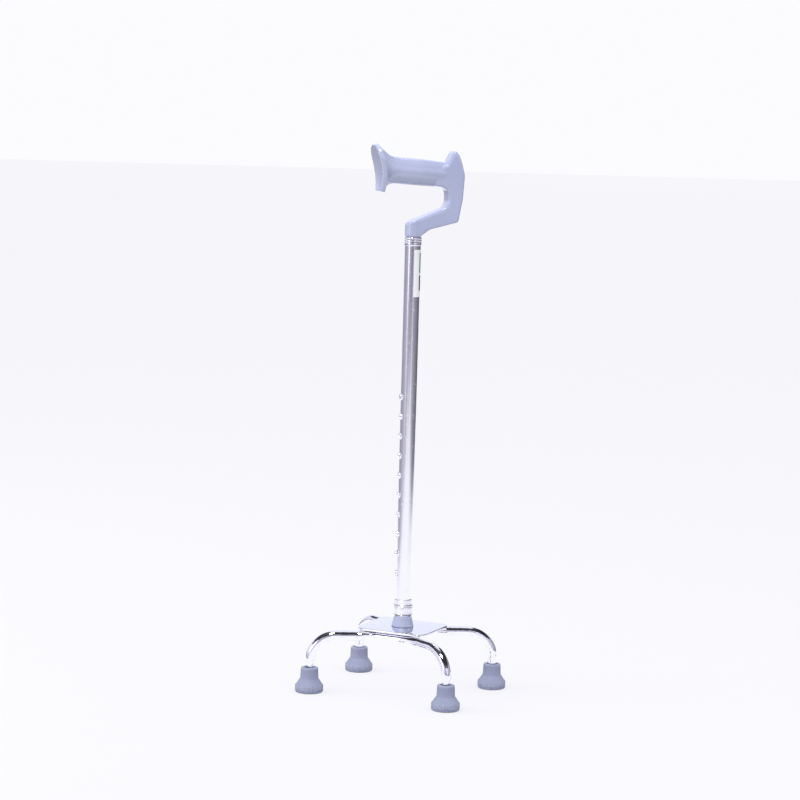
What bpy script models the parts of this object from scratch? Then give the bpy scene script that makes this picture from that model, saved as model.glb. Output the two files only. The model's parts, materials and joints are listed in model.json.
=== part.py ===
"""Quad walking cane: a four-legged base, a height-adjustable shaft and a palm handle.

Frame: +Z up, origin on the floor under the shaft's axis. The base's long side runs along X.
The handle's plane is turned HANDLE_TURN about Z, with its back spine towards +X +Y.
"""
import math

import bmesh
import bpy
from mathutils import Matrix, Vector

# ---------------------------------------------------------------- driving dimensions (metres)
GAP = 0.0003               # clearance between two pieces that touch
SLIDE_GAP = 0.0003         # radial clearance of the telescoping tubes

# Leg tubes
LEG_RADIUS = 0.00635
LEG_WALL = 0.0012
LEG_BEND_RADIUS = 0.034
LEG_SPLAY = math.radians(28)
LEG_BOW_RADIUS = 0.040
LEG_INSET = 0.0065         # leg tube's axis from the plate's long edge
LEG_FLAT_HEIGHT = 0.0078   # height of the tube where it is pressed flat under the plate
LEG_FLAT_SPREAD = 1.30     # how much wider the tube gets there
LEG_FLAT_LENGTH = 0.050    # length of the flat, under the middle of the plate
LEG_PRESS_LENGTH = 0.014   # length over which the tube goes from flat to round

# Rubber tips
FOOT_X = 0.0946            # tip axis from the shaft's axis, along the base's long side
FOOT_Y = 0.0718            # tip axis from the shaft's axis, along its short side
TIP_HEIGHT = 0.0315
TIP_MOUTH_WALL = 0.0045    # rubber around the leg tube at the mouth
TIP_NECK_SPREAD = 0.0006   # how much further out the neck is at its foot
TIP_BAND_REACH = 0.0064    # the ground band's radius beyond the neck's
TIP_BAND_HEIGHT = 0.0090
TIP_FLARE_HEIGHT = 0.0072
TIP_FLOOR = 0.0095
TIP_WASHER_THICKNESS = 0.0015
TIP_WASHER_BORE = 0.0022

# Base plate
PLATE_TOP = 0.0825
PLATE_THICKNESS = 0.0030
PLATE_LENGTH = 0.095
PLATE_WIDTH = 0.084
PLATE_CORNER = 0.012

# Telescoping tubes
OUTER_RADIUS = 0.0100
OUTER_WALL = 0.0012
INNER_WALL = 0.0012
OUTER_LENGTH = 0.4730
HOLE_COUNT = 10
HOLE_PITCH = 0.025
FIRST_HOLE = 0.0469        # lowest hole above the outer tube's lower end
INNER_ABOVE_BUTTON = 0.034
BUSH_LENGTH = 0.012
BUSH_CAP = 0.0020
BUSH_WALL = 0.0014

# Post fixing through the plate
STUD_RADIUS = 0.0050
STUD_END = 0.0050          # stud showing below the nut
STUD_ENGAGE = 0.020        # stud length inside the tube plug
NUT_FLATS = 0.0170
NUT_HEIGHT = 0.0105
WASHER_RADIUS = 0.0105
WASHER_THICKNESS = 0.0020
BOSS_HEIGHT = 0.0125
BOSS_FLOOR = 0.0035
BOSS_TOP_WALL = 0.0025     # wall around the tube's seat at the boss's top
BOSS_FLARE = 0.0026        # how much further out the boss is at its foot
PLUG_LENGTH = 0.032
PLUG_PIN_RADIUS = 0.0016

# Hole eyelets and lock button
EYELET_BORE = 0.0027
EYELET_WALL = 0.0006
EYELET_RIM = 0.0009        # flange's radius beyond the shank's
EYELET_PROUD = 0.0016
BUTTON_PROUD = 0.0009      # button's dome beyond the eyelet
BUTTON_DOME = 0.0011
BUTTON_RIM = 0.0012        # inner flange's radius beyond the button's
BUTTON_FLANGE_THICKNESS = 0.0012
SPRING_STRIP = 0.0006
SPRING_WIDTH = 0.0050
SPRING_LEG = 0.030

# Lock nut at the lower end of the outer tube
LOCKNUT_CLEARANCE = 0.0014  # between the boss and the tightened nut
LOCKNUT_HEIGHT = 0.0139
LOCKNUT_LIP = 0.0020
LOCKNUT_WALL = 0.0011
THREAD_PLAY = 0.0003       # radial; the threads are not cut
SLEEVE_WALL = 0.0007       # threaded part's wall around the outer tube
SLEEVE_RIM = 0.0004        # flange's radius beyond the thread's
SLEEVE_FLANGE_HEIGHT = 0.0066
SLEEVE_ENGAGE = 0.0068     # thread length inside the nut
SLEEVE_GROOVE = 0.0005
TUBE_SET_BACK = 0.0002     # outer tube's end above the sleeve's
COLLET_SLIT = 0.0020

# Top ring and label
RING_HEIGHT = 0.0106
RING_WALL = 0.0006
RING_GROOVE_DEPTH = 0.0003
RING_RIDGES = 3
RING_LIP = 0.0016          # height of the plain lip below the ridges
LABEL_LENGTH = 0.0590
LABEL_TOP_GAP = 0.0050     # label's top edge below the ring
LABEL_ARC = math.radians(194)
LABEL_THICKNESS = 0.0003

# Handle, in its own plane: R runs from the shaft's axis towards the spine
HANDLE_TURN = math.radians(44)
SOCKET_OVERHANG = 0.0007   # socket's radius beyond the outer tube's
STEM_LENGTH = 0.042
STEM_BORE = 0.0040
FRAME_THICKNESS = 0.0208
FRAME_ROUNDING = 0.0022
SPINE_INNER = 0.0418
SPINE_DEPTH = 0.0212
SPINE_PEAK_INSET = 0.0122  # spine's peak from its outer side
SPINE_RISE = 0.0302        # spine's peak above the grip's axis
ARM_HEIGHT = 0.0172        # socket's height on the thumb side
ARM_SLOPE = 0.430          # rise of the arm's upper edge towards the spine
GRIP_HEIGHT = 0.0341
GRIP_WIDTH = 0.0262
GRIP_AXIS_SPINE = 0.0788   # grip's axis above the socket's lower face, at the spine
GRIP_SLOPE = 0.075         # rise of the grip's axis for each metre towards the thumb rest
REST_OUTER_R = -0.0452     # thumb rest's outer face, where it is nearest the shaft
REST_THICKNESS = 0.0044
REST_DROP = 0.0213         # thumb rest's lower edge below the grip's axis
REST_HEIGHT = 0.0579
REST_HALF_WIDTH = 0.0180
REST_FOOT_SHARE = 0.56     # width of the rest's lower edge, as a share of its widest
REST_WIDEST = 0.66         # share of the rest's height at which it is widest
REST_WAIST = 0.30          # share of the rest's height at which it is nearest the shaft
REST_LEAN = 0.0105         # how far the rest's top leans outwards
REST_TOE = 0.0013          # how far its lower edge turns outwards

ROUND_STEPS = 24           # facets of the large turned pieces
INSIDE_STEPS = 16          # facets of the turned pieces inside the shaft
TIP_STEPS = 18
SMALL_STEPS = 12           # facets of eyelets and pins
GRIP_STEPS = 16
LEG_BEVEL = 3              # curve bevel resolution of the leg tubes

# ---------------------------------------------------------------- derived values
PLATE_BOTTOM = PLATE_TOP - PLATE_THICKNESS
LEG_AXIS_Z = PLATE_BOTTOM - GAP - LEG_RADIUS
LEG_MID_Y = PLATE_WIDTH / 2 - LEG_INSET
TIP_MOUTH_RADIUS = LEG_RADIUS + GAP + TIP_MOUTH_WALL
TIP_NECK_RADIUS = TIP_MOUTH_RADIUS + TIP_NECK_SPREAD
TIP_BAND_RADIUS = TIP_NECK_RADIUS + TIP_BAND_REACH
INNER_RADIUS = OUTER_RADIUS - OUTER_WALL - SLIDE_GAP
INNER_BORE = INNER_RADIUS - INNER_WALL
STUD_BORE = STUD_RADIUS + GAP
BOSS_BOTTOM = PLATE_TOP + GAP
BOSS_TOP = BOSS_BOTTOM + BOSS_HEIGHT
BOSS_TOP_RADIUS = INNER_RADIUS + GAP + BOSS_TOP_WALL
BOSS_BASE_RADIUS = BOSS_TOP_RADIUS + BOSS_FLARE
INNER_BOTTOM = BOSS_BOTTOM + BOSS_FLOOR + GAP
LOCKNUT_BOTTOM = BOSS_TOP + LOCKNUT_CLEARANCE
LOCKNUT_TOP = LOCKNUT_BOTTOM + LOCKNUT_HEIGHT
SLEEVE_BOTTOM = LOCKNUT_TOP - SLEEVE_ENGAGE
SLEEVE_THREAD_RADIUS = OUTER_RADIUS + GAP + SLEEVE_WALL
SLEEVE_FLANGE_RADIUS = SLEEVE_THREAD_RADIUS + SLEEVE_RIM
LOCKNUT_RADIUS = SLEEVE_THREAD_RADIUS + THREAD_PLAY + LOCKNUT_WALL
OUTER_BOTTOM = SLEEVE_BOTTOM + TUBE_SET_BACK
OUTER_TOP = OUTER_BOTTOM + OUTER_LENGTH
LOWEST_HOLE = OUTER_BOTTOM + FIRST_HOLE
BUTTON_Z = LOWEST_HOLE + (HOLE_COUNT - 1) * HOLE_PITCH
INNER_TOP = BUTTON_Z + INNER_ABOVE_BUTTON
EYELET_SHANK = EYELET_BORE + EYELET_WALL
EYELET_FLANGE = EYELET_SHANK + EYELET_RIM
EYELET_FACE = OUTER_RADIUS + EYELET_PROUD
BUTTON_RADIUS = EYELET_BORE - GAP
BUTTON_FLANGE_RADIUS = BUTTON_RADIUS + BUTTON_RIM
RING_RADIUS = OUTER_RADIUS + GAP + RING_WALL
HANDLE_BASE = OUTER_TOP + GAP
SOCKET_RADIUS = OUTER_RADIUS + SOCKET_OVERHANG
SPINE_OUTER = SPINE_INNER + SPINE_DEPTH
SPINE_PEAK_R = SPINE_OUTER - SPINE_PEAK_INSET
SPINE_TOP = GRIP_AXIS_SPINE + SPINE_RISE
REST_BOTTOM = GRIP_AXIS_SPINE - REST_DROP
SPINE_WAY = Vector((math.cos(HANDLE_TURN), math.sin(HANDLE_TURN), 0))
HOLE_WAY = -SPINE_WAY      # the holes and the button face the thumb side

# ---------------------------------------------------------------- scene and materials
for leftover in list(bpy.data.objects):
    bpy.data.objects.remove(leftover, do_unlink=True)


def new_collection(name):
    collection = bpy.data.collections.new(name)
    bpy.context.scene.collection.children.link(collection)
    return collection


PARTS = new_collection("Quad_walking_cane")
CUTTERS = new_collection("Cutters")


def new_material(name, colour, roughness, metallic):
    material = bpy.data.materials.new(name)
    material.use_nodes = True
    shader = material.node_tree.nodes["Principled BSDF"]
    shader.inputs["Base Color"].default_value = (*colour, 1)
    shader.inputs["Roughness"].default_value = roughness
    shader.inputs["Metallic"].default_value = metallic
    material.diffuse_color = (*colour, 1)
    return material


HANDLE_PLASTIC = new_material("handle_plastic", (0.44, 0.49, 0.72), 0.32, 0.0)
BOSS_PLASTIC = new_material("boss_plastic", (0.45, 0.50, 0.68), 0.45, 0.0)
TIP_RUBBER = new_material("tip_rubber", (0.28, 0.32, 0.42), 0.70, 0.0)
ALUMINIUM = new_material("anodised_aluminium", (0.78, 0.78, 0.82), 0.30, 1.0)
CHROME = new_material("chrome", (0.90, 0.90, 0.92), 0.06, 1.0)
ZINC_STEEL = new_material("zinc_steel", (0.70, 0.70, 0.72), 0.35, 1.0)
NYLON = new_material("white_nylon", (0.85, 0.85, 0.83), 0.50, 0.0)
PAPER = new_material("label_film", (0.90, 0.90, 0.93), 0.40, 0.0)


# ---------------------------------------------------------------- modelling helpers
def finish_mesh(mesh, sharp_angle=math.radians(35)):
    mesh.shade_smooth()
    mesh.set_sharp_from_angle(angle=sharp_angle)


def add_piece(name, mesh, material, collection=PARTS):
    mesh.name = name
    mesh.materials.clear()
    mesh.materials.append(material)
    piece = bpy.data.objects.new(name, mesh)
    collection.objects.link(piece)
    return piece


def mesh_from_bmesh(bm, name):
    bmesh.ops.recalc_face_normals(bm, faces=bm.faces)
    mesh = bpy.data.meshes.new(name)
    bm.to_mesh(mesh)
    bm.free()
    return mesh


def turned(name, outline, material, steps=ROUND_STEPS, collection=PARTS):
    """Turn an (r, z) outline about Z. It runs down its outer side; off the axis it is a loop."""
    mesh = bpy.data.meshes.new(name)
    points = [(r, 0, z) for r, z in outline]
    edges = [(i, i + 1) for i in range(len(points) - 1)]
    if outline[0][0] > 0:
        edges.append((len(points) - 1, 0))
    mesh.from_pydata(points, edges, [])
    piece = add_piece(name, mesh, material, collection)
    screw = piece.modifiers.new("Turn", "SCREW")
    screw.steps = screw.render_steps = steps
    screw.use_merge_vertices = True
    screw.merge_threshold = 0.00001
    return piece


def as_mesh(piece):
    """Replace a piece's data by its evaluated mesh, with loose caps and seams welded."""
    depsgraph = bpy.context.evaluated_depsgraph_get()
    mesh = bpy.data.meshes.new_from_object(piece.evaluated_get(depsgraph))
    bm = bmesh.new()
    bm.from_mesh(mesh)
    bmesh.ops.remove_doubles(bm, verts=bm.verts, dist=0.00001)
    bm.to_mesh(mesh)
    bm.free()
    name, material = piece.name, piece.data.materials[0]
    collection, placement = piece.users_collection[0], piece.matrix_world.copy()
    bpy.data.objects.remove(piece, do_unlink=True)
    piece = add_piece(name, mesh, material, collection)
    piece.matrix_world = placement
    return piece


def hide_cutter(cutter):
    for collection in list(cutter.users_collection):
        collection.objects.unlink(cutter)
    CUTTERS.objects.link(cutter)
    cutter.hide_render = True
    cutter.display_type = "WIRE"
    return cutter


def boolean(piece, other, operation):
    modifier = piece.modifiers.new(operation.title(), "BOOLEAN")
    modifier.operation = operation
    modifier.solver = "EXACT"
    modifier.object = hide_cutter(other)


def rod(name, radius, start, end, steps=SMALL_STEPS, collection=CUTTERS, material=ZINC_STEEL):
    """A plain cylinder between two points."""
    start, end = Vector(start), Vector(end)
    bm = bmesh.new()
    way = end - start
    bmesh.ops.create_cone(bm, cap_ends=True, segments=steps, radius1=radius, radius2=radius,
                          depth=way.length)
    turn = way.to_track_quat("Z", "X").to_matrix().to_4x4()
    bmesh.ops.transform(bm, matrix=Matrix.Translation((start + end) / 2) @ turn, verts=bm.verts)
    return add_piece(name, mesh_from_bmesh(bm, name), material, collection)


def rounded_rectangle(length, width, corner, corner_steps=6):
    points = []
    for quarter in range(4):
        middle = math.radians(90 * quarter + 45)
        centre_x = math.copysign(length / 2 - corner, math.cos(middle))
        centre_y = math.copysign(width / 2 - corner, math.sin(middle))
        for step in range(corner_steps + 1):
            angle = math.radians(90 * quarter + 90 * step / corner_steps)
            points.append((centre_x + corner * math.cos(angle),
                           centre_y + corner * math.sin(angle)))
    return points


def prism(name, outline, low, high, material, collection=PARTS):
    """A flat outline in X and Y, extruded from low to high along Z."""
    bm = bmesh.new()
    floor = bm.faces.new([bm.verts.new((x, y, low)) for x, y in outline])
    grown = bmesh.ops.extrude_face_region(bm, geom=[floor])["geom"]
    moved = [v for v in grown if isinstance(v, bmesh.types.BMVert)]
    bmesh.ops.translate(bm, verts=moved, vec=(0, 0, high - low))
    return add_piece(name, mesh_from_bmesh(bm, name), material, collection)


def loft(name, rings, material, collection=PARTS):
    """Bridge rings of equal point counts and cap the two ends."""
    bm = bmesh.new()
    loops = [[bm.verts.new(point) for point in ring] for ring in rings]
    for lower, upper in zip(loops, loops[1:]):
        for i in range(len(lower)):
            j = (i + 1) % len(lower)
            bm.faces.new((lower[i], lower[j], upper[j], upper[i]))
    bm.faces.new(loops[0])
    bm.faces.new(loops[-1])
    return add_piece(name, mesh_from_bmesh(bm, name), material, collection)


def turn_to_hole_way(piece, height):
    """Place a piece modelled along +Z so that it points out of the holes at this height."""
    piece.rotation_euler = (math.pi / 2, 0, math.atan2(HOLE_WAY.y, HOLE_WAY.x) + math.pi / 2)
    piece.location = (0, 0, height)
    bpy.context.view_layer.update()


def place_in_handle_plane(piece):
    """Pieces modelled with X as R, Y across the plane and Z up take their place on the shaft."""
    piece.rotation_euler = (0, 0, HANDLE_TURN)
    piece.location = (0, 0, HANDLE_BASE)
    bpy.context.view_layer.update()


def ring_outline(outer, inner, low, high, chamfer=0.0):
    return [(outer - chamfer, high), (outer, high - chamfer), (outer, low + chamfer),
            (outer - chamfer, low), (inner, low), (inner, high)] if chamfer else [
            (outer, high), (outer, low), (inner, low), (inner, high)]


# ---------------------------------------------------------------- base: tips, legs, plate
def build_tips():
    bore = LEG_RADIUS + GAP
    neck_foot = TIP_BAND_HEIGHT + TIP_FLARE_HEIGHT
    outline = [
        (bore + 0.0008, TIP_HEIGHT), (TIP_MOUTH_RADIUS - 0.0008, TIP_HEIGHT),
        (TIP_MOUTH_RADIUS, TIP_HEIGHT - 0.0010), (TIP_NECK_RADIUS, neck_foot + 0.0010),
        (TIP_NECK_RADIUS + 0.0008, neck_foot), (TIP_BAND_RADIUS - 0.0006, TIP_BAND_HEIGHT),
        (TIP_BAND_RADIUS, TIP_BAND_HEIGHT - 0.0010), (TIP_BAND_RADIUS, 0.0030),
        (TIP_BAND_RADIUS - 0.0005, 0.0026), (TIP_BAND_RADIUS - 0.0005, 0.0020),
        (TIP_BAND_RADIUS, 0.0016), (TIP_BAND_RADIUS - 0.0012, 0.0), (0.0, 0.0),
    ]
    inside = [(0.0, TIP_FLOOR), (bore, TIP_FLOOR), (bore, TIP_HEIGHT - 0.0010)]
    closed = outline + inside
    for side, y_sign in (("front", -1), ("rear", 1)):
        for end, x_sign in (("left", -1), ("right", 1)):
            place = (x_sign * FOOT_X, y_sign * FOOT_Y, 0)
            tip = turned(f"tip_{side}_{end}", closed, TIP_RUBBER, TIP_STEPS)
            tip.location = place
            disc = turned(f"tip_washer_{side}_{end}",
                          ring_outline(LEG_RADIUS - 0.0002, TIP_WASHER_BORE, TIP_FLOOR + GAP,
                                       TIP_FLOOR + GAP + TIP_WASHER_THICKNESS), ZINC_STEEL, 16)
            disc.location = place


def leg_path():
    """Half of a leg tube's axis, from the middle under the plate to its end in a tip."""
    way_x, way_y = math.cos(LEG_SPLAY), math.sin(LEG_SPLAY)
    bow_x = LEG_BOW_RADIUS * way_y
    bow_y = LEG_BOW_RADIUS * (1 - way_x)
    bow_start = FOOT_X - bow_x - (FOOT_Y - LEG_MID_Y - bow_y) * way_x / way_y
    points = [Vector((bow_start * i / 4, LEG_MID_Y, LEG_AXIS_Z)) for i in range(4)]
    for step in range(5):
        angle = LEG_SPLAY * step / 4
        points.append(Vector((bow_start + LEG_BOW_RADIUS * math.sin(angle),
                              LEG_MID_Y + LEG_BOW_RADIUS * (1 - math.cos(angle)), LEG_AXIS_Z)))
    bow_end = points[-1]
    bend_start = Vector((FOOT_X - LEG_BEND_RADIUS * way_x, FOOT_Y - LEG_BEND_RADIUS * way_y,
                         LEG_AXIS_Z))
    points.append((bow_end + bend_start) / 2)
    for step in range(9):
        angle = math.pi / 2 * step / 8
        out = LEG_BEND_RADIUS * math.sin(angle)
        fall = LEG_BEND_RADIUS * (1 - math.cos(angle))
        points.append(bend_start + Vector((out * way_x, out * way_y, -fall)))
    tube_end = TIP_FLOOR + TIP_WASHER_THICKNESS + 2 * GAP
    points.append(Vector((FOOT_X, FOOT_Y, tube_end)))
    return points


def press_flat(mesh, path):
    """Press the tube's middle flat from below, its upper side kept against the plate."""
    flat_ratio = LEG_FLAT_HEIGHT / (2 * LEG_RADIUS)
    top = LEG_AXIS_Z + LEG_RADIUS
    for vertex in mesh.vertices:
        along = abs(vertex.co.x)
        ease = min(max((along - LEG_FLAT_LENGTH / 2) / LEG_PRESS_LENGTH, 0.0), 1.0)
        ease = ease * ease * (3 - 2 * ease)
        if ease == 1:
            continue
        before = [p for p in path if p.x <= along][-1]
        after = [p for p in path if p.x > along][0]
        axis_y = before.y + (after.y - before.y) * (along - before.x) / (after.x - before.x)
        tall = flat_ratio + (1 - flat_ratio) * ease
        wide = LEG_FLAT_SPREAD + (1 - LEG_FLAT_SPREAD) * ease
        vertex.co.z = top - (top - vertex.co.z) * tall
        vertex.co.y = axis_y + (vertex.co.y - axis_y) * wide


def build_leg(name, y_sign):
    half = leg_path()
    other_half = [Vector((-p.x, p.y, p.z)) for p in half[:0:-1]]
    curve = bpy.data.curves.new(name, "CURVE")
    curve.dimensions = "3D"
    curve.bevel_depth = LEG_RADIUS
    curve.bevel_resolution = LEG_BEVEL
    points = other_half + half
    spline = curve.splines.new("POLY")
    spline.points.add(len(points) - 1)
    for spot, point in zip(spline.points, points):
        spot.co = (*point, 1)
    curve.materials.append(CHROME)
    tube = bpy.data.objects.new(name, curve)
    PARTS.objects.link(tube)
    tube = as_mesh(tube)
    press_flat(tube.data, half)
    wall = tube.modifiers.new("Wall", "SOLIDIFY")
    wall.thickness = LEG_WALL
    wall.offset = -1
    if y_sign < 0:
        bm = bmesh.new()
        bm.from_mesh(tube.data)
        bmesh.ops.scale(bm, vec=(1, -1, 1), verts=bm.verts)
        bmesh.ops.reverse_faces(bm, faces=bm.faces)
        bm.to_mesh(tube.data)
        bm.free()


def build_base():
    build_tips()
    build_leg("front_leg_tube", -1)
    build_leg("rear_leg_tube", 1)
    plate = prism("base_plate", rounded_rectangle(PLATE_LENGTH, PLATE_WIDTH, PLATE_CORNER),
                  PLATE_BOTTOM, PLATE_TOP, CHROME)
    edge = plate.modifiers.new("Edge", "BEVEL")
    edge.width = PLATE_THICKNESS * 0.4
    edge.segments = 2
    edge.limit_method = "ANGLE"
    edge.angle_limit = math.radians(60)
    boolean(plate, rod("stud_hole", STUD_BORE, (0, 0, PLATE_BOTTOM - 0.01),
                       (0, 0, PLATE_TOP + 0.01), 20), "DIFFERENCE")


# ---------------------------------------------------------------- post: inner tube and its foot
def hexagon(flats):
    corner = flats / math.sqrt(3)
    return [(corner * math.cos(math.radians(60 * i)), corner * math.sin(math.radians(60 * i)))
            for i in range(6)]


def build_post_foot():
    washer_top = PLATE_BOTTOM - GAP
    washer_bottom = washer_top - WASHER_THICKNESS
    nut_top = washer_bottom - GAP
    nut_bottom = nut_top - NUT_HEIGHT
    turned("base_washer", ring_outline(WASHER_RADIUS, STUD_BORE, washer_bottom, washer_top),
           ZINC_STEEL, INSIDE_STEPS)
    nut = prism("base_nut", hexagon(NUT_FLATS), nut_bottom, nut_top, ZINC_STEEL)
    crown = turned("nut_crown", [(0.0, nut_top + 0.001), (NUT_FLATS / 2 + 0.0016, nut_top + 0.001),
                                 (NUT_FLATS / 2 + 0.0016, nut_bottom + 0.0012),
                                 (NUT_FLATS / 2 - 0.0004, nut_bottom), (0.0, nut_bottom)],
                   ZINC_STEEL, INSIDE_STEPS)
    boolean(nut, crown, "INTERSECT")
    boolean(nut, rod("nut_bore", STUD_BORE, (0, 0, nut_bottom - 0.01), (0, 0, nut_top + 0.01)),
            "DIFFERENCE")
    stud_top = INNER_BOTTOM + STUD_ENGAGE
    stud_bottom = nut_bottom - STUD_END
    turned("base_stud", [(0.0, stud_top), (STUD_RADIUS - 0.0006, stud_top),
                         (STUD_RADIUS, stud_top - 0.0006), (STUD_RADIUS, stud_bottom + 0.0010),
                         (STUD_RADIUS - 0.0010, stud_bottom), (0.0, stud_bottom)], ZINC_STEEL, 16)

    seat = INNER_RADIUS + GAP
    turned("base_boss", [(BOSS_TOP_RADIUS - 0.0010, BOSS_TOP), (BOSS_TOP_RADIUS, BOSS_TOP - 0.0009),
                         (BOSS_BASE_RADIUS - 0.0002, BOSS_BOTTOM + 0.0009),
                         (BOSS_BASE_RADIUS, BOSS_BOTTOM + 0.0004),
                         (BOSS_BASE_RADIUS - 0.0004, BOSS_BOTTOM), (STUD_BORE, BOSS_BOTTOM),
                         (STUD_BORE, BOSS_BOTTOM + BOSS_FLOOR), (seat, BOSS_BOTTOM + BOSS_FLOOR),
                         (seat, BOSS_TOP)], BOSS_PLASTIC)

    plug_radius = INNER_BORE - GAP
    plug_top = INNER_BOTTOM + PLUG_LENGTH
    plug = turned("post_plug", [(0.0, plug_top), (plug_radius - 0.0008, plug_top),
                                (plug_radius, plug_top - 0.0008), (plug_radius, INNER_BOTTOM),
                                (STUD_BORE, INNER_BOTTOM), (STUD_BORE, stud_top + GAP),
                                (0.0, stud_top + GAP)], ALUMINIUM, INSIDE_STEPS)
    pin_z = stud_top + GAP + (plug_top - stud_top - GAP) / 2
    pin_half = INNER_RADIUS - GAP
    across = Vector((-SPINE_WAY.y, SPINE_WAY.x, 0))
    reach = across * 0.02
    pin_hole = PLUG_PIN_RADIUS + GAP
    height = Vector((0, 0, pin_z))
    boolean(plug, rod("plug_cross_hole", pin_hole, height - reach, height + reach), "DIFFERENCE")
    rod("plug_pin", PLUG_PIN_RADIUS, height - across * pin_half, height + across * pin_half,
        SMALL_STEPS, PARTS)
    return height, reach, pin_hole


def build_inner_tube(pin_place):
    tube = turned("inner_tube", ring_outline(INNER_RADIUS, INNER_BORE, INNER_BOTTOM, INNER_TOP),
                  ALUMINIUM)
    height, reach, pin_hole = pin_place
    boolean(tube, rod("tube_cross_hole", pin_hole, height - reach, height + reach), "DIFFERENCE")
    button_height = Vector((0, 0, BUTTON_Z))
    boolean(tube, rod("button_hole", EYELET_BORE, button_height,
                      button_height + HOLE_WAY * 0.02), "DIFFERENCE")
    bush_radius = INNER_BORE - GAP
    turned("inner_bush", [(INNER_RADIUS - 0.0004, INNER_TOP + GAP + BUSH_CAP),
                          (INNER_RADIUS, INNER_TOP + GAP + BUSH_CAP - 0.0004),
                          (INNER_RADIUS, INNER_TOP + GAP), (bush_radius, INNER_TOP + GAP),
                          (bush_radius, INNER_TOP - BUSH_LENGTH),
                          (bush_radius - BUSH_WALL, INNER_TOP - BUSH_LENGTH),
                          (bush_radius - BUSH_WALL, INNER_TOP + GAP + BUSH_CAP)], NYLON, INSIDE_STEPS)


def build_button():
    """The sprung button, modelled along +Z from the shaft's axis and turned to the holes."""
    tip = EYELET_FACE + BUTTON_PROUD
    flange_face = math.sqrt(INNER_BORE ** 2 - BUTTON_FLANGE_RADIUS ** 2) - GAP
    shoulder = tip - BUTTON_DOME
    outline = [(0.0, tip)]
    for step in range(1, 5):
        angle = math.pi / 2 * step / 4
        outline.append((BUTTON_RADIUS * math.sin(angle), shoulder + BUTTON_DOME * math.cos(angle)))
    outline += [(BUTTON_RADIUS, flange_face), (BUTTON_FLANGE_RADIUS, flange_face),
                (BUTTON_FLANGE_RADIUS, flange_face - BUTTON_FLANGE_THICKNESS),
                (0.0, flange_face - BUTTON_FLANGE_THICKNESS)]
    button = turned("lock_button", outline, ZINC_STEEL, SMALL_STEPS)
    turn_to_hole_way(button, BUTTON_Z)

    # V-shaped leaf spring: one leg behind the button, the other on the far wall of the tube
    head = flange_face - BUTTON_FLANGE_THICKNESS - GAP
    back = math.sqrt(INNER_BORE ** 2 - (SPRING_WIDTH / 2) ** 2) - GAP
    bend = BUTTON_FLANGE_RADIUS + SPRING_LEG
    inner_half = head - SPRING_STRIP
    centre = (head - back) / 2
    outline = [(head, BUTTON_FLANGE_RADIUS), (head, -BUTTON_FLANGE_RADIUS),
               (centre + 0.0016, -bend + 0.0010), (centre, -bend),
               (centre - 0.0016, -bend + 0.0010), (-back, 0.0), (-back, BUTTON_FLANGE_RADIUS),
               (-back + SPRING_STRIP, BUTTON_FLANGE_RADIUS), (-back + SPRING_STRIP, 0.0),
               (centre - 0.0010, -bend + 0.0016), (centre, -bend + SPRING_STRIP),
               (centre + 0.0010, -bend + 0.0016),
               (inner_half, -BUTTON_FLANGE_RADIUS), (inner_half, BUTTON_FLANGE_RADIUS)]
    spring = prism("button_spring", outline, -SPRING_WIDTH / 2, SPRING_WIDTH / 2, ZINC_STEEL)
    spring.rotation_euler = (math.pi / 2, 0, math.atan2(HOLE_WAY.y, HOLE_WAY.x))
    spring.location = (0, 0, BUTTON_Z)


# ---------------------------------------------------------------- outer tube and what is on it
def build_outer_tube():
    tube = turned("outer_tube", ring_outline(OUTER_RADIUS, OUTER_RADIUS - OUTER_WALL,
                                             OUTER_BOTTOM, OUTER_TOP), ALUMINIUM)
    hole_radius = EYELET_SHANK + GAP
    for index in range(HOLE_COUNT):
        height = LOWEST_HOLE + index * HOLE_PITCH
        start = Vector((0, 0, height))
        boolean(tube, rod(f"tube_hole_{index + 1:02d}", hole_radius, start,
                          start + HOLE_WAY * 0.02), "DIFFERENCE")
    build_eyelets()


def build_eyelets():
    """Flanged eyelets, number 01 the lowest, saddled on the tube by a cut of its own radius."""
    inner_end = OUTER_RADIUS - OUTER_WALL + 0.0001
    for index in range(HOLE_COUNT):
        number = f"{index + 1:02d}"
        height = LOWEST_HOLE + index * HOLE_PITCH
        flange = turned(f"eyelet_{number}", [
            (0.0, EYELET_FACE), (EYELET_FLANGE - 0.0006, EYELET_FACE),
            (EYELET_FLANGE, EYELET_FACE - 0.0006), (EYELET_FLANGE, OUTER_RADIUS * 0.85),
            (0.0, OUTER_RADIUS * 0.85)], ALUMINIUM, SMALL_STEPS)
        turn_to_hole_way(flange, height)
        boolean(flange, rod(f"saddle_{number}", OUTER_RADIUS + GAP, (0, 0, height - 0.008),
                            (0, 0, height + 0.008), ROUND_STEPS), "DIFFERENCE")
        spot = Vector((0, 0, height))
        boolean(flange, rod(f"shank_{number}", EYELET_SHANK, spot + HOLE_WAY * inner_end,
                            spot + HOLE_WAY * (EYELET_FACE - 0.0004)), "UNION")
        boolean(flange, rod(f"eyelet_bore_{number}", EYELET_BORE, spot,
                            spot + HOLE_WAY * 0.02), "DIFFERENCE")


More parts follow.
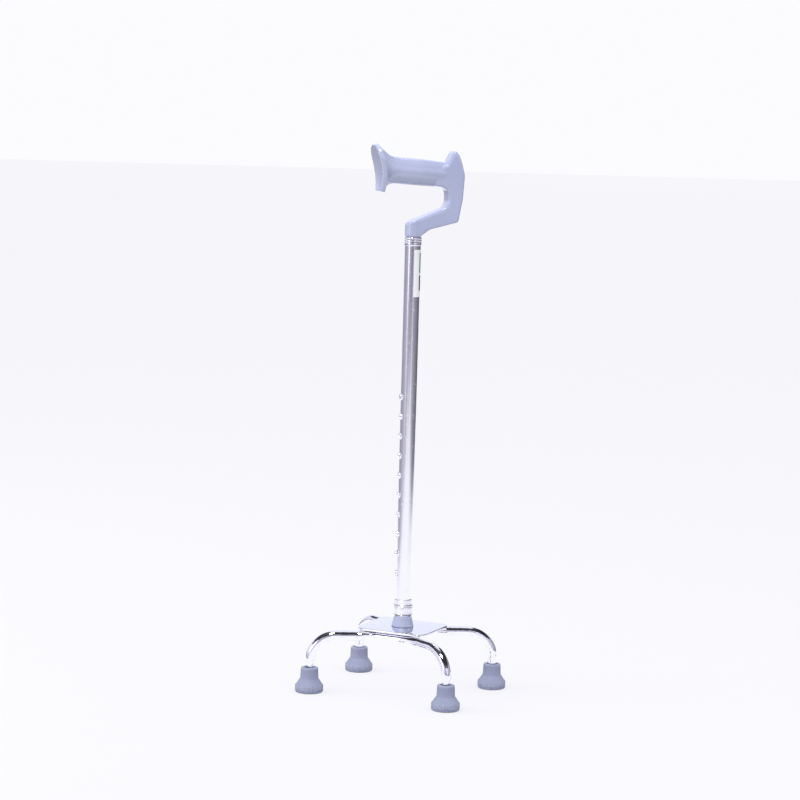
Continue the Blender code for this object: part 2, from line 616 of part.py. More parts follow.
def build_locknut():
    tube_seat = OUTER_RADIUS + GAP
    flange_foot = LOCKNUT_TOP + GAP
    flange_top = flange_foot + SLEEVE_FLANGE_HEIGHT
    groove = SLEEVE_GROOVE
    step = SLEEVE_FLANGE_HEIGHT / 4
    turned("threaded_sleeve", [
        (SLEEVE_FLANGE_RADIUS - 0.0004, flange_top), (SLEEVE_FLANGE_RADIUS, flange_top - 0.0004),
        (SLEEVE_FLANGE_RADIUS, flange_foot + 3 * step),
        (SLEEVE_FLANGE_RADIUS - groove, flange_foot + 3 * step - groove),
        (SLEEVE_FLANGE_RADIUS, flange_foot + 3 * step - 2 * groove),
        (SLEEVE_FLANGE_RADIUS, flange_foot + step + groove),
        (SLEEVE_FLANGE_RADIUS - groove, flange_foot + step),
        (SLEEVE_FLANGE_RADIUS - groove, flange_foot), (SLEEVE_THREAD_RADIUS, flange_foot),
        (SLEEVE_THREAD_RADIUS, SLEEVE_BOTTOM), (tube_seat, SLEEVE_BOTTOM),
        (tube_seat, flange_top)], ALUMINIUM)
    thread_bore = SLEEVE_THREAD_RADIUS + THREAD_PLAY
    lip_bore = INNER_RADIUS + SLIDE_GAP
    lip_top = LOCKNUT_BOTTOM + LOCKNUT_LIP
    turned("locknut", [
        (LOCKNUT_RADIUS - 0.0006, LOCKNUT_TOP), (LOCKNUT_RADIUS, LOCKNUT_TOP - 0.0006),
        (LOCKNUT_RADIUS, LOCKNUT_BOTTOM + 0.0022), (LOCKNUT_RADIUS - 0.0012, LOCKNUT_BOTTOM),
        (lip_bore, LOCKNUT_BOTTOM), (lip_bore, lip_top), (thread_bore, lip_top),
        (thread_bore, LOCKNUT_TOP)], ALUMINIUM)
    collet_low, collet_high = lip_top + GAP, SLEEVE_BOTTOM - GAP
    collet = turned("collet_ring", [
        (thread_bore - 0.0010, collet_high), (thread_bore - GAP, collet_high - 0.0012),
        (thread_bore - GAP, collet_low), (lip_bore, collet_low), (lip_bore, collet_high)],
        NYLON, INSIDE_STEPS)
    slit = prism("collet_slit", [(0.0, -COLLET_SLIT / 2), (0.02, -COLLET_SLIT / 2),
                                 (0.02, COLLET_SLIT / 2), (0.0, COLLET_SLIT / 2)],
                 collet_low - 0.001, collet_high + 0.001, NYLON)
    boolean(collet, slit, "DIFFERENCE")


def build_ring_and_label():
    seat = OUTER_RADIUS + GAP
    bottom = OUTER_TOP - RING_HEIGHT
    ridge = (RING_HEIGHT - RING_LIP) / RING_RIDGES
    outline = [(RING_RADIUS - 0.0003, OUTER_TOP)]
    for index in range(RING_RIDGES):
        top = OUTER_TOP - index * ridge
        outline += [(RING_RADIUS, top - 0.0004), (RING_RADIUS, top - ridge + 0.0008),
                    (RING_RADIUS - RING_GROOVE_DEPTH, top - ridge + 0.0004)]
    outline += [(RING_RADIUS + 0.0002, bottom + 0.0010), (RING_RADIUS + 0.0002, bottom + 0.0004),
                (RING_RADIUS - 0.0002, bottom), (seat, bottom), (seat, OUTER_TOP)]
    turned("top_ring", outline, CHROME)

    label_top = bottom - LABEL_TOP_GAP
    inner = OUTER_RADIUS + GAP / 2
    outer = inner + LABEL_THICKNESS
    steps = 22
    arc = [HANDLE_TURN - LABEL_ARC / 2 + LABEL_ARC * i / steps for i in range(steps + 1)]
    strip = [(outer * math.cos(a), outer * math.sin(a)) for a in arc]
    strip += [(inner * math.cos(a), inner * math.sin(a)) for a in reversed(arc)]
    prism("label", strip, label_top - LABEL_LENGTH, label_top, PAPER)


# ---------------------------------------------------------------- handle
def smooth_outline(corners, steps=4):
    """Round each corner (r, z, radius) of a closed outline with a small arc."""
    points = []
    count = len(corners)
    for i, (r, z, radius) in enumerate(corners):
        here = Vector((r, z))
        before = Vector(corners[i - 1][:2]) - here
        after = Vector(corners[(i + 1) % count][:2]) - here
        if radius <= 0:
            points.append((r, z))
            continue
        half = before.angle(after) / 2
        setback = min(radius / math.tan(half), before.length * 0.49, after.length * 0.49)
        start, end = here + before.normalized() * setback, here + after.normalized() * setback
        for step in range(steps + 1):
            t = step / steps
            spot = start * (1 - t) ** 2 + here * (2 * t * (1 - t)) + end * t ** 2
            points.append((spot.x, spot.y))
    return points


def build_handle_frame():
    """Flat-sided spine and lower arm, rounded along their edges."""
    arm_top = ARM_HEIGHT + (SOCKET_RADIUS + SPINE_INNER) * ARM_SLOPE
    axis = GRIP_AXIS_SPINE
    grip_low = axis - GRIP_HEIGHT / 2
    inside_grip = SPINE_INNER - 0.0100
    corners = [
        (0.0, 0.0006, 0.0), (SOCKET_RADIUS - 0.0037, 0.0006, 0.002), (0.0190, 0.0092, 0.012),
        (SPINE_OUTER - 0.0065, 0.0188, 0.003), (SPINE_OUTER - 0.0012, axis - 0.0308, 0.030),
        (SPINE_OUTER + 0.0008, axis + 0.0002, 0.030), (SPINE_OUTER - 0.0035, axis + 0.0157, 0.012),
        (SPINE_PEAK_R + 0.0050, SPINE_TOP - 0.0050, 0.008), (SPINE_PEAK_R, SPINE_TOP + 0.0012, 0.004),
        (SPINE_PEAK_R - 0.0042, SPINE_TOP - 0.0030, 0.004),
        (SPINE_INNER - 0.0020, axis + 0.0132, 0.004), (inside_grip, axis + 0.0072, 0.0),
        (inside_grip, grip_low + 0.0020, 0.0), (SPINE_INNER - 0.0001, grip_low, 0.009),
        (SPINE_INNER + 0.0006, arm_top - 0.0008, 0.009),
        (0.0, ARM_HEIGHT + SOCKET_RADIUS * ARM_SLOPE, 0.0),
    ]
    outline = smooth_outline(corners)
    frame = prism("handle", outline, -FRAME_THICKNESS / 2, FRAME_THICKNESS / 2, HANDLE_PLASTIC)
    bm = bmesh.new()
    bm.from_mesh(frame.data)
    upright = Matrix(((1, 0, 0), (0, 0, -1), (0, 1, 0))).to_4x4()
    bmesh.ops.transform(bm, matrix=upright, verts=bm.verts)
    bm.to_mesh(frame.data)
    bm.free()
    edge = frame.modifiers.new("Rounding", "BEVEL")
    edge.width = FRAME_ROUNDING
    edge.segments = 2
    edge.limit_method = "ANGLE"
    edge.angle_limit = math.radians(60)
    return as_mesh(frame)


def grip_axis(r):
    return GRIP_AXIS_SPINE + (SPINE_INNER - r) * GRIP_SLOPE


def build_grip():
    """Oval grip, fullest under the palm, flaring into the thumb rest."""
    stations = ((SPINE_INNER + 0.0060, 0.90, 0.76), (SPINE_INNER - 0.0060, 0.93, 0.82),
                (0.0220, 0.97, 0.94), (0.0060, 1.00, 1.00), (-0.0110, 1.00, 0.98),
                (REST_OUTER_R + 0.0192, 0.98, 0.94), (REST_OUTER_R + 0.0122, 1.06, 1.02),
                (REST_OUTER_R + 0.0070, 1.22, 1.12), (REST_OUTER_R + 0.0030, 1.40, 1.22))
    rings = []
    for r, tall, wide in stations:
        ring = []
        for step in range(GRIP_STEPS):
            angle = 2 * math.pi * step / GRIP_STEPS
            ring.append((r, GRIP_WIDTH / 2 * wide * math.cos(angle),
                         grip_axis(r) + GRIP_HEIGHT / 2 * tall * math.sin(angle)))
        rings.append(ring)
    return loft("grip_loft", rings, HANDLE_PLASTIC)


def rest_share(height):
    return (height - REST_BOTTOM) / REST_HEIGHT


def rest_outer_r(height):
    """Outer face of the thumb rest: nearest the shaft at its waist, leaning outwards above."""
    share = rest_share(height)
    if share < REST_WAIST:
        return REST_OUTER_R - REST_TOE * ((REST_WAIST - share) / REST_WAIST) ** 2
    return REST_OUTER_R - REST_LEAN * ((share - REST_WAIST) / (1 - REST_WAIST)) ** 1.7


def rest_half_width(height):
    """The rest widens upwards and ends in a round top."""
    share = rest_share(height)
    if share < REST_WIDEST:
        swell = math.sin(math.pi / 2 * share / REST_WIDEST)
        return REST_HALF_WIDTH * (REST_FOOT_SHARE + (1 - REST_FOOT_SHARE) * swell)
    fall = (share - REST_WIDEST) / (1.01 - REST_WIDEST)
    return REST_HALF_WIDTH * math.sqrt(1 - fall ** 2)


def build_thumb_rest():
    rings = []
    levels = 12
    for level in range(levels + 1):
        height = REST_BOTTOM + REST_HEIGHT * math.sin(math.pi / 2 * level / levels)
        half, outer = rest_half_width(height), rest_outer_r(height)
        ring = []
        for step in range(9):
            across = -math.cos(math.pi * step / 8)
            ring.append((outer - 0.0012 * across ** 2, half * across, height))
        for step in range(9):
            across = math.cos(math.pi * step / 8)
            ring.append((outer + REST_THICKNESS - 0.0008 * across ** 2, half * across, height))
        rings.append(ring)
    return loft("rest_loft", rings, HANDLE_PLASTIC)


def build_socket():
    """Round socket above the tube, its top cut to the arm's slope, with the stem below it."""
    stem = OUTER_RADIUS - OUTER_WALL - GAP
    levels = ((stem - 0.0010, -STEM_LENGTH, 0), (stem, 0.0015 - STEM_LENGTH, 0), (stem, 0.0, 0),
              (SOCKET_RADIUS - 0.0006, 0.0, 0), (SOCKET_RADIUS, 0.0008, 0),
              (SOCKET_RADIUS, ARM_HEIGHT - 0.0012, 1), (SOCKET_RADIUS - 0.0012, ARM_HEIGHT, 1))
    rings = []
    for radius, height, slanted in levels:
        ring = []
        for step in range(ROUND_STEPS):
            angle = 2 * math.pi * step / ROUND_STEPS
            x, y = radius * math.cos(angle), radius * math.sin(angle)
            ring.append((x, y, height + slanted * ARM_SLOPE * (x + SOCKET_RADIUS)))
        rings.append(ring)
    return loft("socket", rings, HANDLE_PLASTIC)


def build_handle():
    handle = build_handle_frame()
    socket = build_socket()
    for member in (socket, build_grip(), build_thumb_rest()):
        place_in_handle_plane(member)
        boolean(handle, member, "UNION")
    place_in_handle_plane(handle)
    core = rod("stem_core", STEM_BORE, (0, 0, HANDLE_BASE - STEM_LENGTH - 0.01),
               (0, 0, HANDLE_BASE - 0.004))
    boolean(handle, core, "DIFFERENCE")


# ---------------------------------------------------------------- build
build_base()
pin_place = build_post_foot()
build_inner_tube(pin_place)
build_button()
build_outer_tube()
build_locknut()
build_ring_and_label()
build_handle()
for piece in PARTS.objects:
    finish_mesh(piece.data)
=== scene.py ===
# %% [markdown]
# A quad walking cane, finished piece by piece around its CAD frame.
# The frame holds every size and every joint. This lesson only makes the surfaces: smooth
# turned rings, bent tubes, a moulded handle, and a procedural material for each finish.

# %% Load the frame
import json
import math

import bpy
from mathutils import Matrix, Vector

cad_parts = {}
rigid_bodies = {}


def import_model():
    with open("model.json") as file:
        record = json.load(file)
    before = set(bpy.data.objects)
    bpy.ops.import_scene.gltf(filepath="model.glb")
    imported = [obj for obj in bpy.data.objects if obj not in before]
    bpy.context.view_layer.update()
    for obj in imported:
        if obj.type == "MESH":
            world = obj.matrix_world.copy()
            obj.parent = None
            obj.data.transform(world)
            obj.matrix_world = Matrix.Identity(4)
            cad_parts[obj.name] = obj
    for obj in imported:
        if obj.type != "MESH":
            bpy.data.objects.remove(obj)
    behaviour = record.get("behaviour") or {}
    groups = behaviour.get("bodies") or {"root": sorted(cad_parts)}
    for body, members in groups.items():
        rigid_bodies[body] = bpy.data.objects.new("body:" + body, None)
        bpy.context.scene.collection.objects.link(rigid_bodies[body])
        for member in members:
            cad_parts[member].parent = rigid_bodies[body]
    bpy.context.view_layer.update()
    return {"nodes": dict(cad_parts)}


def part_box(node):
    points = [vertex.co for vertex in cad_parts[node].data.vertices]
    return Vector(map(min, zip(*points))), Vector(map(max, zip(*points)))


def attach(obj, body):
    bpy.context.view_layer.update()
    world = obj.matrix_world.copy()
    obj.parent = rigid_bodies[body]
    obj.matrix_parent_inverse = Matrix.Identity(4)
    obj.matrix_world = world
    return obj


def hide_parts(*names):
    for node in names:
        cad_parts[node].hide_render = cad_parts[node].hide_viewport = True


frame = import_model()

# %% [markdown]
# Operators act on whatever is selected, so each step first lets go of everything.
# These small helpers select in code what a hand would pick with the mouse.


# %% Selecting
def let_go():
    if bpy.context.object and bpy.context.object.mode != "OBJECT":
        bpy.ops.object.mode_set(mode="OBJECT")
    bpy.ops.object.select_all(action="DESELECT")


def take(piece, *others):
    let_go()
    for one in (piece, *others):
        one.select_set(True)
    bpy.context.view_layer.objects.active = piece


def pick(piece, test, kind="VERT"):
    """In edit mode, select the vertices, edges or faces whose middle passes the test."""
    bpy.ops.object.mode_set(mode="OBJECT")
    mesh = piece.data
    for part in (*mesh.vertices, *mesh.edges, *mesh.polygons):
        part.select = False
    if kind == "VERT":
        chosen = [v for v in mesh.vertices if test(v.co)]
    elif kind == "EDGE":
        chosen = [e for e in mesh.edges if all(test(mesh.vertices[i].co) for i in e.vertices)]
    else:
        chosen = [f for f in mesh.polygons if test(f.center)]
    for part in chosen:
        part.select = True
    bpy.ops.object.mode_set(mode="EDIT")
    bpy.ops.mesh.select_mode(type=kind)


def settle(piece):
    """Put the piece's place into its mesh, so that its object sits at the origin, unturned."""
    take(piece)
    bpy.ops.object.transform_apply(location=True, rotation=True, scale=True)
    return piece


def open_mesh(piece):
    """Enter edit mode with everything selected."""
    take(piece)
    bpy.ops.object.mode_set(mode="EDIT")
    bpy.ops.mesh.select_all(action="SELECT")


def close_mesh():
    """Weld doubled vertices, turn every face outwards and leave edit mode."""
    bpy.ops.mesh.select_all(action="SELECT")
    bpy.ops.mesh.remove_doubles(threshold=weld)
    bpy.ops.mesh.normals_make_consistent(inside=False)
    bpy.ops.object.mode_set(mode="OBJECT")


weld = 1e-6
print("helpers for selecting are ready")

# %% [markdown]
# Modifiers are added, set and applied at once, so every finished piece is a plain mesh.
# A bevel limited by angle softens only the crisp edges; shading by angle keeps them crisp.


# %% Applying modifiers
def apply(piece, kind, **settings):
    take(piece)
    modifier = piece.modifiers.new(kind.title(), kind)
    for name, value in settings.items():
        setattr(modifier, name, value)
    bpy.ops.object.modifier_apply(modifier=modifier.name)
    return piece


def soften(piece, width, segments=3, angle=30):
    return apply(piece, "BEVEL", width=width, segments=segments, limit_method="ANGLE",
                 angle_limit=math.radians(angle))


def cut(piece, cutter, operation="DIFFERENCE"):
    apply(piece, "BOOLEAN", operation=operation, object=cutter, solver="EXACT")
    bpy.data.objects.remove(cutter, do_unlink=True)
    return piece


def shade(piece, angle=32):
    take(piece)
    bpy.ops.object.shade_smooth_by_angle(angle=math.radians(angle))
    return piece


def rod(radius, depth, vertices, middle=0):
    """A plain upright cylinder on the shaft's axis, for drilling and cutting."""
    let_go()
    bpy.ops.mesh.primitive_cylinder_add(vertices=vertices, radius=radius, depth=depth,
                                        location=(0, 0, middle))
    return bpy.context.object


def copy_to(piece, name, place):
    twin = piece.copy()
    twin.data = piece.data.copy()
    bpy.context.scene.collection.objects.link(twin)
    twin.name, twin.location = name, place
    return settle(twin)


def draw_curve(name, points, closed=False):
    """A curve at the origin with one straight-sided spline through the points."""
    let_go()
    bpy.ops.curve.primitive_nurbs_path_add()
    path = bpy.context.object
    path.name, path.location = name, (0, 0, 0)
    path.data.splines.clear()
    spline = path.data.splines.new("POLY")
    spline.points.add(len(points) - 1)
    for point, place in zip(spline.points, points):
        point.co = (*place, 1)
    spline.use_cyclic_u = closed
    return path


print("helpers for modifiers, copies and curves are ready")

# %% [markdown]
# Most of a cane is turned: rings, nuts, eyelets, rubber tips. A lathe could be imitated with a
# Screw modifier or with Spin. Here a ring of edges is grown instead: it is extruded and
# resized through the stations of the profile, which keeps the facets even and the poles clean.


# %% Turning
def turn_ring(name, profile, steps=96, closed=True):
    """Grow a ring through (radius, height) stations; closed ends where it began, else capped."""
    let_go()
    radius, height = profile[0]
    bpy.ops.mesh.primitive_circle_add(vertices=steps, radius=radius, location=(0, 0, height),
                                      fill_type="NOTHING" if closed else "NGON")
    piece = bpy.context.object
    piece.name = name
    open_mesh(piece)
    for new_radius, new_height in [*profile[1:], profile[0]] if closed else profile[1:]:
        bpy.ops.mesh.extrude_region_move(
            TRANSFORM_OT_translate={"value": (0, 0, new_height - height)})
        share = new_radius / radius
        bpy.ops.transform.resize(value=(share, share, 1), center_override=(0, 0, new_height))
        radius, height = new_radius, new_height
    close_mesh()
    return settle(piece)


print("helper for turned pieces is ready")

# %% [markdown]
# The frame gives every size this lesson needs. A few are read here once, in metres, so that
# each new piece goes exactly where its plain CAD solid is.

# %% Sizes read from the frame
low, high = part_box("outer_tube")
tube_bottom, tube_top, tube_radius = low[2], high[2], (high[0] - low[0]) / 2
low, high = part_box("inner_tube")
post_bottom, post_top, post_radius = low[2], high[2], (high[0] - low[0]) / 2
plate_low, plate_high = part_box("base_plate")
handle_base = tube_top + 0.0003
tip_low, tip_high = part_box("tip_front_right")
foot_x = (tip_low[0] + tip_high[0]) / 2
foot_y = abs(tip_low[1] + tip_high[1]) / 2
tip_top, band_radius = tip_high[2], (tip_high[1] - tip_low[1]) / 2
tube_wall = 0.0012
gap = 0.0003
handle_turn = math.radians(44)
spine_way = Vector((math.cos(handle_turn), math.sin(handle_turn), 0))
hole_way = -spine_way
turn_to_handle = Matrix.Rotation(handle_turn, 4, "Z")
turn_to_holes = (Matrix.Rotation(handle_turn + math.pi, 4, "Z")
                 @ Matrix.Rotation(math.pi / 2, 4, "Y"))
print("shaft radius", round(tube_radius, 4), "feet at", round(foot_x, 4), round(foot_y, 4))

# %% [markdown]
# The base plate is a chromed steel pressing. A cube could be scaled and bevelled; a flat plane
# is easier, because its four corners are rounded before it has any thickness. Then it is
# extruded down, its edges are rolled over, and the stud's hole is cut through.


# %% Base plate
plate_corner = 0.012
stud_hole = 0.0053


def make_plate():
    let_go()
    width, depth, thickness = plate_high - plate_low
    bpy.ops.mesh.primitive_plane_add(size=1, location=(0, 0, plate_high[2]))
    plate = bpy.context.object
    plate.name = "Base_plate_chromed"
    open_mesh(plate)
    bpy.ops.transform.resize(value=(width, depth, 1))
    bpy.ops.mesh.bevel(offset=plate_corner, segments=10, affect="VERTICES")
    bpy.ops.mesh.select_all(action="SELECT")
    bpy.ops.mesh.extrude_region_move(TRANSFORM_OT_translate={"value": (0, 0, -thickness)})
    close_mesh()
    settle(plate)
    cut(plate, rod(stud_hole, 0.02, 64, plate_high[2]))
    soften(plate, 0.0009, segments=4, angle=50)
    shade(plate)
    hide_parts("base_plate")
    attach(plate, "base")
    return plate


plate = make_plate()
print("plate:", len(plate.data.polygons), "faces")

# %% [markdown]
# Each pair of feet shares one bent tube. On the bench it is bent round a former, then pressed
# flat where the plate is welded on. The same order works here: a curve gives the bends, its
# round bevel gives the tube, and the middle is squeezed with a proportional resize.

# %% Leg tubes
leg_radius = 0.00635
leg_bend = 0.034
leg_bow = 0.040
leg_splay = math.radians(28)
leg_mid_y = plate_high[1] - 0.0065
leg_height = plate_low[2] - gap - leg_radius
leg_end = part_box("front_leg_tube")[0][2]
leg_flat_height = 0.0078
leg_flat_spread = 1.30
leg_flat_half = 0.025
leg_press = 0.014


def leg_route():
    way = Vector((math.cos(leg_splay), math.sin(leg_splay), 0))
    bow_y = leg_bow * (1 - way.x)
    start_x = foot_x - leg_bow * way.y - (foot_y - leg_mid_y - bow_y) * way.x / way.y
    half = [Vector((start_x * i / 6, leg_mid_y, leg_height)) for i in range(6)]
    for step in range(9):
        angle = leg_splay * step / 8
        half.append(Vector((start_x + leg_bow * math.sin(angle),
                            leg_mid_y + leg_bow * (1 - math.cos(angle)), leg_height)))
    bow_end = half[-1].copy()
    bend_start = Vector((foot_x, foot_y, leg_height)) - way * leg_bend
    half += [bow_end.lerp(bend_start, share) for share in (0.2, 0.4, 0.6, 0.8)]
    for step in range(17):
        angle = math.pi / 2 * step / 16
        half.append(bend_start + way * (leg_bend * math.sin(angle))
                    - Vector((0, 0, leg_bend * (1 - math.cos(angle)))))
    half += [half[-1].lerp(Vector((foot_x, foot_y, leg_end)), share) for share in (0.5, 1.0)]
    return [Vector((-p.x, p.y, p.z)) for p in half[:0:-1]] + half


def make_leg(name, node, side):
    leg = draw_curve(name, [(place.x, place.y * side, place.z) for place in leg_route()])
    curve = leg.data
    curve.bevel_depth, curve.bevel_resolution = leg_radius, 14
    curve.use_fill_caps = False
    curve.twist_mode = "Z_UP"
    bpy.ops.object.convert(target="MESH")
    open_mesh(leg)
    close_mesh()
    pick(leg, lambda v: abs(v.x) < leg_flat_half)
    squeeze = leg_flat_height / (2 * leg_radius)
    for stretch, centre in (((1, 1, squeeze), (0, 0, leg_height + leg_radius)),
                            ((1, leg_flat_spread, 1), (0, side * leg_mid_y, 0))):
        bpy.ops.transform.resize(value=stretch, center_override=centre,
                                 use_proportional_edit=True, proportional_size=leg_press,
                                 proportional_edit_falloff="SMOOTH")
    bpy.ops.object.mode_set(mode="OBJECT")
    apply(leg, "SOLIDIFY", thickness=tube_wall, offset=-1)
    shade(leg, 60)
    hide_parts(node)
    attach(leg, "base")
    return leg


front_leg = make_leg("Leg_tube_front_chromed", "front_leg_tube", -1)
rear_leg = make_leg("Leg_tube_rear_chromed", "rear_leg_tube", 1)
legs = (front_leg, rear_leg)
for leg in legs:
    print(leg.name, [round(v, 4) for v in leg.dimensions], len(leg.data.polygons), "faces")

# %% [markdown]
# The four rubber tips are one moulding: a wide ground band, a flare, a neck that tapers
# slightly, and a bore for the tube. One is turned, with its two grooves and the rings of its
# tread, and the others are copies with their own mesh, moved to their feet.

# %% Rubber tips
tip_floor = 0.0095
neck_radius = band_radius - 0.0064
mouth_radius = neck_radius - 0.0006
tip_bore = leg_radius + gap


def tip_profile():
    profile = [(tip_bore, tip_floor), (tip_bore, tip_top - 0.0009), (tip_bore + 0.0007, tip_top)]
    profile += [(mouth_radius - 0.0012, tip_top), (mouth_radius - 0.0003, tip_top - 0.0004)]
    profile += [(mouth_radius, tip_top - 0.0013), (mouth_radius + 0.0002, 0.0270)]
    profile += [(neck_radius, 0.0178), (neck_radius + 0.0006, 0.0166)]
    profile += [(neck_radius + 0.0016, 0.0155), (band_radius - 0.0016, 0.0104)]
    profile += [(band_radius - 0.0004, 0.0094), (band_radius, 0.0086), (band_radius, 0.0036)]
    profile += [(band_radius - 0.0007, 0.0033), (band_radius - 0.0007, 0.0026)]
    profile += [(band_radius, 0.0023), (band_radius - 0.0004, 0.0008), (band_radius - 0.0012, 0)]
    for ring in range(3):
        outer = band_radius - 0.0040 - 0.0042 * ring
        profile += [(outer, 0), (outer - 0.0003, 0.0010), (outer - 0.0013, 0.0010),
                    (outer - 0.0016, 0)]
    return [*profile, (0.0012, 0)]


def make_tips():
    tip = turn_ring("Rubber_tip", tip_profile(), steps=72, closed=False)
    shade(tip, 40)
    tips = []
    for side, y_sign in (("front", -1), ("rear", 1)):
        for end, x_sign in (("left", -1), ("right", 1)):
            copy = copy_to(tip, f"Rubber_tip_{side}_{end}", (x_sign * foot_x, y_sign * foot_y, 0))
            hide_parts(f"tip_{side}_{end}")
            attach(copy, "base")
            tips.append(copy)
    bpy.data.objects.remove(tip, do_unlink=True)
    return tips


tips = make_tips()
print(len(tips), "tips,", len(tips[0].data.polygons), "faces each")

# %% [markdown]
# The post stands on the plate. A plastic boss hides its foot, and a stud, a washer and a nut
# hold it from below. The boss, the washer and the stud are turned; the stud's end shows its
# thread as real ridges. The nut is a six-sided cylinder whose corners are cut by a cone.

# %% Post foot
boss_low, boss_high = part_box("base_boss")
nut_low, nut_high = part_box("base_nut")
stud_low, stud_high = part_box("base_stud")
washer_low, washer_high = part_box("base_washer")
stud_radius = 0.0050
thread_pitch, thread_depth = 0.00125, 0.0006
nut_flats = 0.0170


def make_boss():
    bottom, top = boss_low[2], boss_high[2]
    base, seat = boss_high[0], post_radius + gap
    head = base - 0.0026
    boss = turn_ring("Boss_moulded", [
        (seat, bottom + 0.0035), (seat, top - 0.0006), (seat + 0.0005, top), (head - 0.0008, top),
        (head, top - 0.0008), (head + 0.0003, top - 0.0022), (base - 0.0003, bottom + 0.0016),
        (base, bottom + 0.0009), (base, bottom + 0.0003), (base - 0.0004, bottom),
        (stud_radius + gap, bottom), (stud_radius + gap, bottom + 0.0035)])
    soften(boss, 0.0003, segments=2, angle=35)
    return boss


def make_stud():
    bottom, top = stud_low[2], stud_high[2]
    profile = [(stud_radius - 0.0010, bottom), (stud_radius, bottom + 0.0010)]
    height = bottom + 0.0010
    while height < nut_low[2] + 0.0020:
        profile += [(stud_radius - thread_depth, height + thread_pitch / 2),
                    (stud_radius, height + thread_pitch)]
        height += thread_pitch
    profile += [(stud_radius, top - 0.0006), (stud_radius - 0.0006, top)]
    return turn_ring("Stud_threaded", profile, steps=48, closed=False)


def make_nut():
    let_go()
    bottom, top, flat = nut_low[2], nut_high[2], nut_flats / 2
    bpy.ops.mesh.primitive_cylinder_add(vertices=6, radius=nut_flats / math.sqrt(3),
                                        depth=top - bottom, location=(0, 0, (top + bottom) / 2),
                                        rotation=(0, 0, math.radians(30)))
    nut = settle(bpy.context.object)
    nut.name = "Nut_hexagon"
    cut(nut, turn_ring("crown", [(flat - 0.0002, bottom), (flat + 0.0014, bottom + 0.0010),
                                 (flat + 0.0014, top)], steps=64, closed=False), "INTERSECT")
    cut(nut, rod(stud_radius + gap, 0.03, 48, (top + bottom) / 2))
    return soften(nut, 0.0003, segments=2, angle=25)


def make_washer():
    bottom, top = washer_low[2], washer_high[2]
    washer = turn_ring("Washer_plain", [(stud_radius + gap, bottom), (stud_radius + gap, top),
                                        (washer_high[0], top), (washer_high[0], bottom)], 72)
    return soften(washer, 0.0003, segments=2)


boss, stud, nut, washer = make_boss(), make_stud(), make_nut(), make_washer()
for piece, node, slot in ((boss, "base_boss", "boss_plastic"), (stud, "base_stud", "zinc_steel"),
                          (nut, "base_nut", "zinc_steel"), (washer, "base_washer", "zinc_steel")):
    shade(piece)
    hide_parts(node)
    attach(piece, "post")
    print(piece.name, [round(v, 4) for v in piece.dimensions])

# %% [markdown]
# The two shaft tubes are drawn aluminium. A cylinder without ends, thickened inwards, is such
# a tube; its holes are drilled with plain cylinders, as on the bench, all in one row.

# %% Shaft tubes
hole_radius, eyelet_bore = 0.0036, 0.0027
eyelet_boxes = [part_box(f"eyelet_{number:02d}") for number in range(1, 11)]
hole_heights = [(low[2] + high[2]) / 2 for low, high in eyelet_boxes]
button_height = hole_heights[-1]


def stand_at_hole(piece, height, out=0):
    """Turn a piece made upright at the origin to face the way of the holes."""
    piece.matrix_world = (Matrix.Translation(hole_way * out + Vector((0, 0, height)))
                          @ turn_to_holes)
    return settle(piece)


def make_tube(name, radius, bottom, top, holes, hole_size):
    tube = turn_ring(name, [(radius - tube_wall, bottom), (radius - tube_wall, top),
                            (radius - 0.0003, top), (radius, top - 0.0003),
                            (radius, bottom + 0.0003), (radius - 0.0003, bottom)], steps=128)
    for height in holes:
        cut(tube, stand_at_hole(rod(hole_size, 0.02, 32), height, 0.0105))
    return shade(tube)


outer_tube = make_tube("Shaft_outer_tube", tube_radius, tube_bottom, tube_top, hole_heights,
                       hole_radius)
inner_tube = make_tube("Shaft_inner_tube", post_radius, post_bottom, post_top, [button_height],
                       eyelet_bore)
for piece, node, body in ((outer_tube, "outer_tube", "upper"), (inner_tube, "inner_tube", "post")):
    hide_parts(node)
    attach(piece, body)
    print(piece.name, [round(v, 4) for v in piece.dimensions])

# %% [markdown]
# Each hole wears a flanged eyelet, and the lock button looks out of the topmost one. They are
# turned upright at the origin, turned to face the way of the holes, and moved out to the tube.
# A cylinder of the tube's own size cuts the saddle under each flange.

# %% Eyelets and the lock button
eyelet_flange = 0.0042
eyelet_face = tube_radius + 0.0016


def make_eyelets():
    face, flange, barrel = eyelet_face, eyelet_flange, hole_radius - gap
    inner, saddle = tube_radius - 0.0011, tube_radius * 0.86
    eyelet = turn_ring("eyelet", [
        (eyelet_bore, inner), (eyelet_bore, face - 0.0005),
        (eyelet_bore + 0.0002, face - 0.0001), (eyelet_bore + 0.0005, face),
        (flange - 0.0007, face), (flange - 0.0002, face - 0.0003), (flange, face - 0.0008),
        (flange, saddle), (barrel, saddle), (barrel, inner)], steps=40)
    stand_at_hole(eyelet, 0)
    lip = turn_ring("lip", [(barrel, 0), (barrel, 0.02), (hole_radius + 0.005, 0.02),
                            (hole_radius + 0.005, 0)], steps=40)
    stand_at_hole(lip, 0)
    cut(lip, rod(tube_radius, 0.02, 128), "INTERSECT")
    cut(eyelet, lip)
    shade(eyelet)
    for number, height in enumerate(hole_heights, start=1):
        copy = copy_to(eyelet, f"Eyelet_rolled_{number:02d}", (0, 0, height))
        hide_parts(f"eyelet_{number:02d}")
        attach(copy, "upper")
    bpy.data.objects.remove(eyelet, do_unlink=True)


